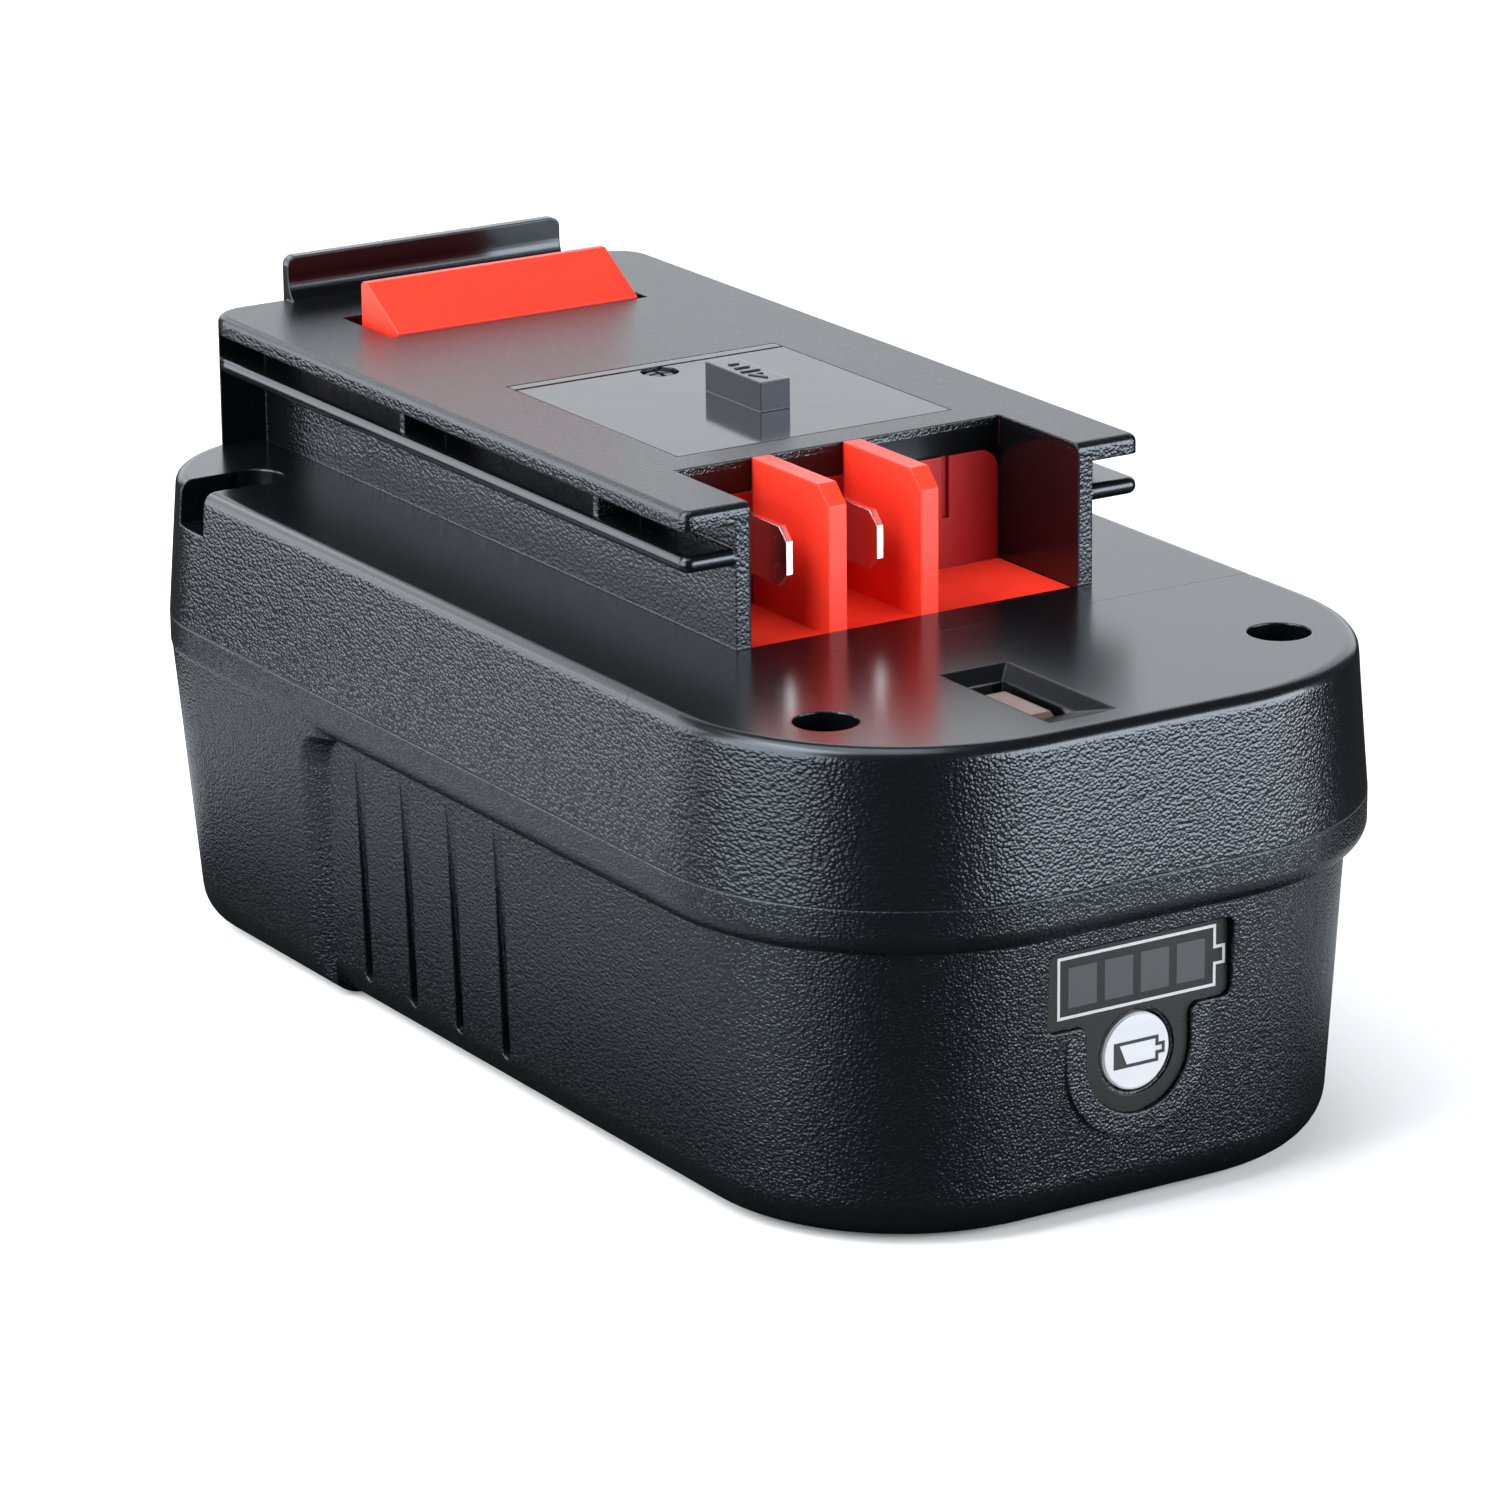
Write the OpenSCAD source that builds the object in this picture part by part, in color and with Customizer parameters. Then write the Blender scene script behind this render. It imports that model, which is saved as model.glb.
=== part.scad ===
// Slide-on battery pack of a cordless power tool, in millimetres.
// The gauge end faces +X, +Z is up, and the origin lies on the ground under the middle of the case.

/* [Case] */
// Length of the deck, from front to rear
deck_l = 146.8; // [146:0.2:152]
// Width of the deck
deck_w = 78.4; // [78:0.2:84]
// Height of the deck above the ground
deck_h = 53.5; // [53:0.1:57]
// Height of the line where the cover meets the lower case
parting_h = 37.2; // [36:0.1:39]
// How far the skirt flares out from the deck to the parting line
skirt_flare = 1.25; // [0.9:0.05:1.6]
// Corner radius of the deck at the rear
rear_corner_r = 17; // [14:0.5:19]
// Corner radius of the deck at the front
front_corner_r = 27; // [24:0.5:28]
// Rounding of the deck edge
deck_edge_r = 1.5; // [0.8:0.1:2]
// Wall thickness of both case halves
wall = 2.4; // [2.1:0.1:2.6]
// Thickness of the deck
deck_t = 2.6; // [2.2:0.1:3]
// Thickness of the floor
floor_t = 2.4; // [2:0.1:2.6]
// Height of the rolled lip under the parting line
lip_h = 5.2; // [4.6:0.1:6]
// Set-in of the lower wall from the deck outline
tub_inset = 1; // [0.6:0.1:1.2]
// Inward lean of the lower wall from the lip to the ground
tub_draft = 2; // [1.5:0.1:2.2]
// Rounding of the bottom edge
bottom_r = 5; // [4:0.5:6]
// Length of the rear stretch of wall that stands flush with the lip
flush_l = 42.1; // [40:0.1:44]
// Inward lean of the flush stretch from the lip to the ground
flush_draft = 3; // [2.6:0.1:3.2]
// Length of the hollow step between the flush and the set-in wall
step_l = 4.2; // [3.5:0.1:5]
// How far the step leans forward from the ground to the lip
step_lean = 3.2; // [2:0.1:4]
// Radius of the step's turn under the lip
step_turn_r = 4; // [3:0.1:5]
// Thickness of the tongue that registers the two halves
tongue_t = 1.2; // [1:0.1:1.4]
// Height of the tongue
tongue_h = 2; // [1.5:0.1:2.5]

/* [Grip] */
// Number of grip grooves on each side
groove_n = 4; // [2:1:4]
// Spacing of the grip grooves
groove_pitch = 10; // [8:0.2:11]
// Distance of the first groove ahead of the hollow step
groove_lead = 8; // [6:0.2:9]
// Width of a groove
groove_w = 1.7; // [1.2:0.1:2]
// Depth of a groove at its lower end
groove_depth = 1.2; // [0.8:0.1:1.3]
// How far a groove leans forward from its lower end to the lip
groove_lean = 1.8; // [1:0.1:2.5]
// Height of the lower end of a groove
groove_low = 4.2; // [4:0.1:6]

/* [Tower] */
// Height of the tower above the deck
tower_h = 15.5; // [15:0.1:17]
// Distance from the front end of the deck to the tower
tower_front_gap = 42.3; // [41:0.1:44]
// Set-in of the tower from the rear edge of the deck
tower_rear_gap = 0.2; // [0.1:0.1:0.6]
// Width of the tower between the rail grooves
core_w = 44.5; // [44:0.1:46]
// Width across the rails
rail_w = 56.8; // [55:0.2:60]
// Thickness of the tower's side walls
core_wall = 1.8; // [1.5:0.1:2]
// Thickness of the top plate
plate_t = 2.1; // [2:0.1:2.4]
// Plan radius of the rear corners of plate and rails
plate_rear_r = 4.5; // [3:0.5:6]
// Plan radius of the front corners of plate and rails
plate_front_r = 1.2; // [1:0.1:2]
// Height of the rail's underside above the deck
rail_lift = 8.9; // [8.5:0.1:9.2]
// Thickness of the lower rail
rail_t = 1.8; // [1.5:0.1:2]
// Thickness of the tower's rear wall
rear_wall_t = 2.2; // [1.8:0.1:2.4]
// Thickness of the webs between plate and rail
web_t = 1; // [0.8:0.1:1.4]
// Spacing of the webs
web_pitch = 41; // [36:1:44]
// Height of the stop flange above the plate
flange_h = 5.1; // [4.5:0.1:6]
// Length of the stop flange
flange_l = 36.1; // [32:0.1:40]
// Thickness of the stop flange at its top
flange_t = 1.3; // [1:0.1:1.6]
// Thickness of the stop flange at its foot
flange_foot = 2.4; // [2:0.1:3]
// Radius of the stop flange's upper corners
flange_r = 1.1; // [0.8:0.1:2]
// Height of the hollow curve at the stop flange's foot
flange_cove = 2.6; // [2:0.1:3.2]

/* [Terminals] */
// Length of the terminal bays, open at the front of the tower
bay_l = 14.9; // [14:0.1:16]
// Thickness of the block's back wall
back_wall_t = 1.8; // [1.5:0.1:2.2]
// How far the back wall stays below the plate
back_wall_drop = 3.6; // [3:0.1:4.5]
// Y of the first divider's middle
divider_a_y = -9.8; // [-10.2:0.1:-9.4]
// Y of the second divider's middle
divider_b_y = 1.6; // [1.4:0.1:2.6]
// Thickness of a divider
divider_t = 2.2; // [1.8:0.1:2.4]
// Bevel at the upper front end of a divider
divider_bevel = 2; // [1:0.1:3]
// Y of the negative blade
negative_y = -13.8; // [-14.2:0.1:-13.4]
// Y of the positive blade
positive_y = -2.6; // [-3:0.1:-2.2]
// Height of a blade
blade_h = 6.35; // [6:0.05:6.6]
// Thickness of a blade
blade_t = 0.8; // [0.7:0.05:1]
// Free length of a blade in its bay
blade_l = 11.9; // [11:0.1:13]
// Height of the blade's middle above the deck
blade_mid = 7.75; // [7:0.05:8.5]
// Bevel on the tip of a blade
blade_bevel = 1.4; // [1:0.1:1.6]

/* [Key plate] */
// Distance from the bays' rear edge to the key plate
key_gap = 4.4; // [4:0.1:6]
// Length of the key plate
key_l = 35.6; // [34:0.1:37]
// Width of the key plate
key_w = 34.6; // [33:0.1:36]
// Thickness of the key plate
key_t = 1.2; // [1:0.1:1.3]
// Distance from the key plate's front edge to its post
post_setback = 10.6; // [9:0.1:12]
// Length of the key post
post_l = 11.2; // [10:0.1:12]
// Width of the key post
post_w = 3.7; // [3:0.1:4.5]
// Height of the key post
post_h = 3.3; // [2.8:0.1:4]
// Y of the key post's middle
post_y = 1.6; // [1:0.1:2.2]
// Distance from the key plate's rear edge to its screw
key_screw_setback = 3.8; // [3.4:0.1:5]

/* [Latch] */
// Travel of the latch
latch_travel = 4.8; // [4.5:0.1:5]
// Distance from the rear of the tower to the slot of the latch
slot_setback = 11.9; // [11.5:0.1:13]
// Length of the slot
slot_l = 11.1; // [10.5:0.1:12]
// Width of the slot
slot_w = 33.8; // [33:0.1:35]
// Length of the wedge
wedge_l = 8.3; // [8:0.1:9]
// Height of the wedge above the plate
wedge_h = 4.6; // [4:0.1:4.7]
// Gap between the latch and what it slides in
latch_gap = 0.4; // [0.3:0.05:0.5]
// Thickness of the latch's carrier
carrier_t = 3; // [2.5:0.1:3.5]
// Width of the thumb pad
pad_w = 20; // [18:0.5:22]
// Height of the thumb pad
pad_h = 7.2; // [6.5:0.1:7.4]
// Mean radius of a latch spring
spring_r = 2.8; // [2.6:0.1:3]
// Wire diameter of a latch spring
spring_wire = 0.6; // [0.5:0.05:0.7]
// Turns of a latch spring
spring_turns = 7; // [5:1:8]

/* [Gauge] */
// X of the flat floor of the gauge recess, behind the front end of the deck
gauge_setback = 2.5; // [2.3:0.1:2.8]
// Depth of the gauge recess under the bezel's rim
gauge_depth = 0.8; // [0.6:0.1:1]
// Width of the gauge recess
gauge_w = 22.8; // [22:0.1:24]
// Height of the gauge recess
gauge_h = 8.7; // [8.4:0.1:9.5]
// Corner radius of the gauge recess
gauge_corner_r = 1.1; // [0.8:0.1:1.5]
// Height of the middle of the gauge recess
gauge_z = 25.7; // [25.5:0.1:26]
// Height of the button's middle
button_z = 17.4; // [17.2:0.1:17.6]
// Diameter of the button
button_d = 8.2; // [7.6:0.1:8.4]
// Gap round the button
button_gap = 0.3; // [0.25:0.05:0.4]
// Travel of the button
button_travel = 1; // [0.8:0.1:1.1]
// Radius of the recess round the button
button_recess_r = 6.5; // [6.2:0.1:6.8]
// Outer radius of the bezel round the button
bezel_r = 8.9; // [8.4:0.1:9.2]
// Width of a lit segment
segment_w = 3.5; // [3:0.1:3.6]
// Height of a lit segment
segment_h = 4.3; // [4:0.1:4.6]
// Spacing of the lit segments
segment_pitch = 4.45; // [4.3:0.05:4.6]
// Thickness of the gauge label
label_t = 0.25; // [0.2:0.05:0.4]
// Thickness of the circuit boards
board_t = 1.6; // [1.2:0.1:1.8]

/* [Deck fittings] */
// Diameter of the screw wells
well_d = 6.8; // [6.4:0.1:7]
// Depth of the screw wells
well_depth = 8.5; // [8:0.1:9]
// Distance of the screws from the middle of the case
screw_x = 56.8; // [56.5:0.1:58]
// Distance of the front screws from the side of the deck
front_screw_inset = 11.3; // [11:0.1:11.7]
// Distance of the rear screws from the side of the deck
rear_screw_inset = 7.9; // [7.8:0.1:8.4]
// Diameter of the screw threads
screw_d = 2.9; // [2.5:0.1:3]
// Diameter of the screw heads
screw_head_d = 5.6; // [5:0.1:6]
// Width of the side slots at the rear screws
side_slot_w = 6.2; // [5.8:0.1:6.4]
// Depth of the side slots
side_slot_depth = 5; // [4.5:0.1:5.2]
// Distance from the front end of the deck to the contact window
window_setback = 3.8; // [3.4:0.1:5]
// Length of the contact window
window_l = 19.7; // [19:0.1:20.5]
// Width of the contact window
window_w = 8.4; // [8:0.1:9]
// Y of the contact window's middle
window_y = -5.6; // [-6:0.1:-5]
// Width of the window's bevel
window_bevel = 1.8; // [1.6:0.1:2]
// Length of the slope at the front of the window
window_ramp = 5; // [4:0.1:5.5]

/* [Cells] */
// Diameter of a cell
cell_d = 18.4; // [18.2:0.1:18.6]
// Play between the insulating papers and the foot of the case wall
cell_play = 0.7; // [0.6:0.1:1.2]
// Spacing of the cells
cell_pitch = 19; // [18.9:0.1:19]
// Columns of cells
cell_columns = 5; // [5:1:5]
// Depth of a cell holder
holder_d = 14; // [12:0.5:16]
// Thickness of the cell links
link_t = 0.2; // [0.15:0.05:0.3]
// Thickness of the insulating papers
paper_t = 0.3; // [0.2:0.05:0.4]
// Length of the protection board
main_board_l = 80; // [78:0.5:82]
// Width of the protection board
main_board_w = 54; // [52:0.5:56]

/* [Hidden] */
$fn = 96;

// Overlap of a cut beyond the face that it opens
cut = 1;
// Sink of a boss into the floor that it stands on
floor_sink = 0.2;
half_l = deck_l / 2;
half_w = deck_w / 2;
reach = half_w + 2 * cut;
deck_low = deck_h - deck_t;
lip_low = parting_h - lip_h;
lip_r = skirt_flare + tub_inset;
rim_gap = 0.35;
rim_in = skirt_flare - wall - rim_gap - tongue_t;
case_plan = [-half_l, half_l, half_w, rear_corner_r, front_corner_r];
step_x = flush_l - half_l;
// The flush wall starts just inside the lip
flush_inset = 0.1;
flush_top = lip_low + lip_r;
step_sides = 8;
// The step's crest runs out a little above the flush wall
step_over = 1.06;

plate_top = deck_h + tower_h;
plate_low = plate_top - plate_t;
tower_rear = tower_rear_gap - half_l;
tower_front = half_l - tower_front_gap;
core_y = core_w / 2;
hollow_y = core_y - core_wall;
plate_plan = [tower_rear, tower_front, rail_w / 2, plate_rear_r, plate_front_r];
plate_edge_r = 0.9;
rail_low = deck_h + rail_lift;
rail_edge_r = 0.45 * rail_t;
// Thickness of the rear wall beyond the core
rear_fin_t = 1.3 * rear_wall_t;
bay_rear = tower_front - bay_l;

fit = 0.15;
block_gap = 0.1;
block_flange = 2;
block_floor_drop = 0.4;
block_floor = deck_h - block_floor_drop;
block_leg_y = 16;
block_leg_r = 2;
back_top = plate_top - back_wall_drop;
blade_z = deck_h + blade_mid;
blade_leg_l = 4;
blade_tail = 2.4;

key_front = bay_rear - key_gap;
key_rear = key_front - key_l;
key_low = plate_top - key_t;
key_screw_x = key_rear + key_screw_setback;
small_screw_d = 2.2;
small_head_d = 4;
small_head_h = 0.7;
boss_wall = 2.1;
key_boss_h = 6;
screw_play = 0.4;

slot_rear = tower_rear + slot_setback;
slot_front = slot_rear + slot_l;
wedge_front = slot_front - latch_gap;
wedge_rear = wedge_front - wedge_l;
wedge_y = slot_w / 2 - 3 * latch_gap;
carrier_drop = 0.3;
carrier_top = plate_low - carrier_drop;
carrier_low = carrier_top - carrier_t;
carrier_rear = tower_rear + rear_wall_t + latch_gap;
// The thumb pad stays just inside the widest line of the skirt
pad_inset = 0.15;
pad_rear = -half_l - skirt_flare + pad_inset;
pad_top = carrier_top - latch_gap;
pad_low = pad_top - pad_h;
finger_r = 0.6;
retainer_t = 2;
retainer_drop = 3.9;
retainer_top = deck_low - retainer_drop;
cup_gap = 0.4;
peg_r = spring_r - spring_wire / 2 - cup_gap;
peg_h = 4;
cup_r = spring_r + spring_wire / 2 + cup_gap;
cup_t = 1;
cup_h = 2;
spring_setback = 0.6;
spring_x = slot_rear - spring_setback;
spring_y = 8;
hanger_setback = 5.5;
hanger_x = carrier_rear + hanger_setback;
hanger_y = 17;
hanger_r = 3;
hanger_depth = 8;

gauge_x = half_l - gauge_setback;
bezel_x = gauge_x + gauge_depth;
gauge_wall = 2.3;
gauge_back = gauge_x - gauge_wall;
button_r = button_d / 2;
// The button stands just proud of the label
button_proud = 0.05;
button_front = gauge_x + label_t + button_proud;
button_edge = 0.15;
button_lap = 0.7;
button_flange_r = button_r + button_gap + button_lap;
button_flange_x = gauge_back - button_gap;
button_flange_t = 1.4;
button_tail = button_flange_x - button_flange_t;
switch_h = 2;
switch_w = 6;
plunger_r = 1.6;
plunger_fit = 0.1;
switch_floor = 0.4;
// Play left between pieces of the switch when the button is fully pressed
press_play = 0.3;
switch_front = button_tail - button_travel - press_play;
gauge_board_x = switch_front - switch_h;
gauge_board_w = 26;
gauge_board_low = 8;
gauge_board_rise = 6.3;
gauge_board_top = gauge_z + gauge_board_rise;
board_guide_t = 1.5;
board_guide_w = 4;
guide_t = gauge_back - button_tail;
guide_rim = 0.8;
guide_foot = 1;
led_size = [1.8, 1.6, 3.2];

well_seat = deck_h - well_depth;
well_wall = 1.6;
cover_boss_r = well_d / 2 + well_wall;
tub_boss_wall = 2.5;
tub_boss_r = screw_d / 2 + tub_boss_wall;
screw_depth = 15;
screw_head_h = 2.2;
front_screw_y = half_w - front_screw_inset;
rear_screw_y = half_w - rear_screw_inset;
screw_places = [[screw_x, front_screw_y], [screw_x, -front_screw_y],
    [-screw_x, rear_screw_y], [-screw_x, -rear_screw_y]];
window_x = [half_l - window_setback - window_l, half_l - window_setback];
window_lip = 1.3;
slot_block_wall = 2;
stake_setback = 4;
stake_x = window_x[0] - stake_setback;
stake_h = 0.9;
stake_r = 1;
leaf_t = 0.4;
leaf_w = 3.4;
leaf_gap = 0.5;
end_run = 3.4;
end_drop = 1.6;
leaf_rise = 0.5;
leaf_top = deck_low + leaf_rise;

holder_rim = 0.8;
cell_fit = 0.05;
pack_x = -2;
holder_l = cell_columns * cell_pitch + 2 * holder_rim;
holder_h = 2 * cell_pitch + 2 * holder_rim;
holder_x = [pack_x - holder_l / 2, pack_x + holder_l / 2];
holder_top = floor_t + holder_h;
stop_y = 24;
stop_w = 6;
stop_t = 2;
stop_h = 10;
// The cells fill the width of the case but for their links, papers and play
cell_half = half_w - tub_inset - tub_draft - wall - cell_play - paper_t - link_t;
cell_row_z = [floor_t + holder_rim + cell_pitch / 2, floor_t + holder_rim + cell_pitch * 3 / 2];
board_lift = 2.6;
board_low = holder_top + board_lift;
board_top = board_low + board_t;
board_x = [pack_x - main_board_l / 2, pack_x + main_board_l / 2];
post_inset = 4;
post_side = main_board_w / 2 - post_inset;
post_r = 2.6;
post_bore = 7;
pillar_r = 2.5;
pillar_inset = 3.5;
link_w = 12;
tab_w = 5;
tab_shift = 2;
tab_lap = 1.5;
transistor_inset = 12;
transistor_x = board_x[0] + transistor_inset;
transistor_size = [9, 8, 2.3];
transistor_pitch = 11;
chip_gap = 6;
chip_size = [8, 8, 1.2];

function column_x(i) = pack_x + (i - (cell_columns - 1) / 2) * cell_pitch;

// The board's posts stand over the gaps between the outer columns
post_xs = [column_x(0.5), column_x(cell_columns - 1.5)];

// A box between two opposite corners
module block(low, high) {
    translate(low)
        cube(high - low);
}

// An outline in Y and Z, drawn out along X
module along_x(x0, x1) {
    translate([x0, 0, 0])
        rotate([90, 0, 90])
            linear_extrude(x1 - x0)
                children();
}

// An outline in X and Z, drawn out along Y
module along_y(y0, y1) {
    translate([0, y1, 0])
        rotate([90, 0, 0])
            linear_extrude(y1 - y0)
                children();
}

// A rod that lies along X
module rod_x(x0, x1, y, z, r) {
    translate([x0, y, z])
        rotate([0, 90, 0])
            cylinder(h = x1 - x0, r = r);
}

// A closed tube through rings of points, each ring with the same number of sides
module ring_tube(points, sides) {
    last = len(points) - sides;
    skin = [for (i = [0 : sides : last - 1], j = [0 : sides - 1], half = [0, 1])
        let (a = i + j, b = i + (j + 1) % sides)
        half == 0 ? [a, b, b + sides] : [a, b + sides, a + sides]];
    ends = [for (j = [1 : sides - 2], end = [0, 1])
        end == 0 ? [0, j + 1, j] : [last, last + j, last + j + 1]];
    polyhedron(points, concat(skin, ends));
}

// The part of a wall outline that lies outside a turning axis at distance r from the plan
module outline_at(r) {
    intersection() {
        translate([r, 0])
            children();
        translate([0, -cut])
            square([r + 5 * cut, plate_top + 3 * cut]);
    }
}

// A wall outline carried round a plan [rear x, front x, half width, rear radius, front radius].
// The outline's first axis is the distance outward from the plan, its second the height.
module carry_round(plan) {
    side = plan[2];
    rear_r = plan[3];
    front_r = plan[4];
    rear_c = [plan[0] + rear_r, side - rear_r];
    front_c = [plan[1] - front_r, side - front_r];
    along_x(rear_c.x, front_c.x)
        for (m = [0, 1])
            mirror([m, 0])
                outline_at(side)
                    children();
    along_y(-rear_c.y, rear_c.y)
        translate([rear_c.x, 0])
            mirror([1, 0])
                outline_at(rear_r)
                    children();
    along_y(-front_c.y, front_c.y)
        translate([front_c.x, 0])
            outline_at(front_r)
                children();
    for (m = [0, 1])
        mirror([0, m, 0]) {
            translate([rear_c.x, rear_c.y, 0])
                rotate(90)
                    rotate_extrude(angle = 90)
                        outline_at(rear_r)
                            children();
            translate([front_c.x, front_c.y, 0])
                rotate_extrude(angle = 90)
                    outline_at(front_r)
                        children();
        }
}

// Outline of a slab whose rim is rounded above and below, or above only
module slab_outline(low, high, r, both = true) {
    foot = both ? low + r : low;
    translate([-reach, low])
        square([reach - r, high - low]);
    translate([-reach, foot])
        square([reach, high - r - foot]);
    for (z = both ? [low + r, high - r] : [high - r])
        translate([-r, z])
            circle(r);
}

// Outline of the cover's skirt and deck, with the deck edge rounded onto the flared skirt
module skirt_outline() {
    rise = deck_h - parting_h;
    out = [rise, skirt_flare] / norm([rise, skirt_flare]);
    middle = [-deck_edge_r * (1 - out.y) / out.x, deck_h - deck_edge_r];
    polygon([[-reach, parting_h], [skirt_flare, parting_h], middle + deck_edge_r * out,
        middle + [0, deck_edge_r], [-reach, deck_h]]);
    translate(middle)
        circle(deck_edge_r);
}

// Outline of a leaning lower wall that is rounded onto the ground
module leaning_outline(start, draft) {
    out = [start.y, -draft] / norm([start.y, draft]);
    middle = [start.x - draft - bottom_r * (1 + out.y) / out.x, bottom_r];
    polygon([[-reach, 0], [middle.x, 0], middle + bottom_r * out, start, [-reach, start.y]]);
    translate(middle)
        circle(bottom_r);
}

// Outline of the rolled lip and the tongue above it
module lip_outline() {
    polygon([[-reach, lip_low], [skirt_flare - lip_r, lip_low], [skirt_flare, lip_low + lip_r],
        [skirt_flare, parting_h], [rim_in + tongue_t, parting_h],
        [rim_in + tongue_t, parting_h + tongue_h], [-reach, parting_h + tongue_h]]);
    translate([skirt_flare - lip_r, lip_low + lip_r])
        circle(lip_r);
}

// Outline of the space inside the lower case
module tub_space_outline() {
    polygon([[-reach, floor_t], [-tub_inset - tub_draft - wall, floor_t], [-tub_inset - wall, lip_low],
        [rim_in, lip_low + lip_r], [rim_in, parting_h + tongue_h + cut],
        [-reach, parting_h + tongue_h + cut]]);
}

// Outline of the space under the deck
module cover_space_outline() {
    polygon([[-reach, parting_h - cut], [skirt_flare - wall, parting_h - cut],
        [skirt_flare - wall, parting_h], [-wall, deck_low], [-reach, deck_low]]);
}

// Plan of one side's flush stretch at a height, with its hollow step pushed forward by some length
function flush_ring(z, push) =
    let (
        rear = -half_l - 2 * skirt_flare,
        out_y = half_w + 3 * skirt_flare,
        foot = [step_x + step_lean * z / lip_low + push,
            half_w - tub_inset - tub_draft * (1 - z / lip_low)],
        rise = skirt_flare - flush_inset - flush_draft * (1 - z / flush_top) + half_w - foot.y
    )
    concat([[rear, -cut, z], [rear, out_y, z], [foot.x - step_l, out_y, z]],
        [for (i = [step_sides : -1 : 0]) let (part = i / step_sides)
            [foot.x - step_l * part, foot.y + step_over * rise * sin(90 * part), z]],
        [[foot.x, -cut, z]]);

// Rear stretch of the lower wall that stands flush with the lip, ending in a hollow step
module flush_wall() {
    turns = [for (i = [0 : step_sides / 2]) 180 * i / step_sides];
    levels = concat([[-cut, 0]],
        [for (a = turns) [lip_low - step_turn_r * (1 - sin(a)), step_turn_r * (1 - cos(a))]],
        [[flush_top + cut, step_turn_r]]);
    intersection() {
        carry_round(case_plan)
            leaning_outline([skirt_flare - flush_inset, flush_top], flush_draft);
        union()
            for (m = [0, 1])
                mirror([0, m, 0])
                    ring_tube([for (level = levels) each flush_ring(level[0], level[1])],
                        len(flush_ring(0, 0)));
    }
}

// One grip groove, deepest at its rounded lower end and running out under the lip
module grip_groove(x) {
    top_y = half_w - tub_inset;
    low_y = top_y - tub_draft * (1 - groove_low / lip_low) - groove_depth;
    groove_r = groove_w / 2;
    intersection() {
        along_x(x - groove_w, x + groove_lean + groove_w)
            polygon([[low_y, groove_low], [top_y + cut, groove_low], [top_y + cut, lip_low - cut / 2],
                [top_y, lip_low - cut / 2]]);
        along_y(low_y - cut, top_y + 2 * cut) {
            translate([x, groove_low + groove_r])
                circle(groove_r);
            polygon([[x - groove_r, groove_low + groove_r], [x + groove_r, groove_low + groove_r],
                [x + groove_lean + groove_r, lip_low], [x + groove_lean - groove_r, lip_low]]);
        }
    }
}

// Points of an arc
function arc(middle, r, from, to) =
    let (steps = max(3, ceil(abs(to - from) / 9)))
    [for (i = [0 : steps]) let (turn = from + (to - from) * i / steps) middle + r * [cos(turn), sin(turn)]];

// Plan of the gauge recess and the ring round its button, in Y and Z
module gauge_outline(shrink, ring_r) {
    side = gauge_w / 2 - shrink;
    low = gauge_z - gauge_h / 2 + shrink;
    high = gauge_z + gauge_h / 2 - shrink;
    corner_r = gauge_corner_r - shrink;
    inner_r = gauge_corner_r + shrink;
    right = concat(arc([0, button_z], ring_r, -90, 0),
        arc([ring_r + inner_r, low - inner_r], inner_r, 180, 90),
        arc([side - corner_r, low + corner_r], corner_r, -90, 0),
        arc([side - corner_r, high - corner_r], corner_r, 0, 90));
    left = [for (i = [len(right) - 1 : -1 : 1]) [-right[i].x, right[i].y]];
    polygon(concat(right, left));
}

// One place for each lit segment
module at_segments() {
    for (i = [-1.5 : 1.5])
        translate([0, i * segment_pitch, gauge_z])
            children();
}

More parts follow.
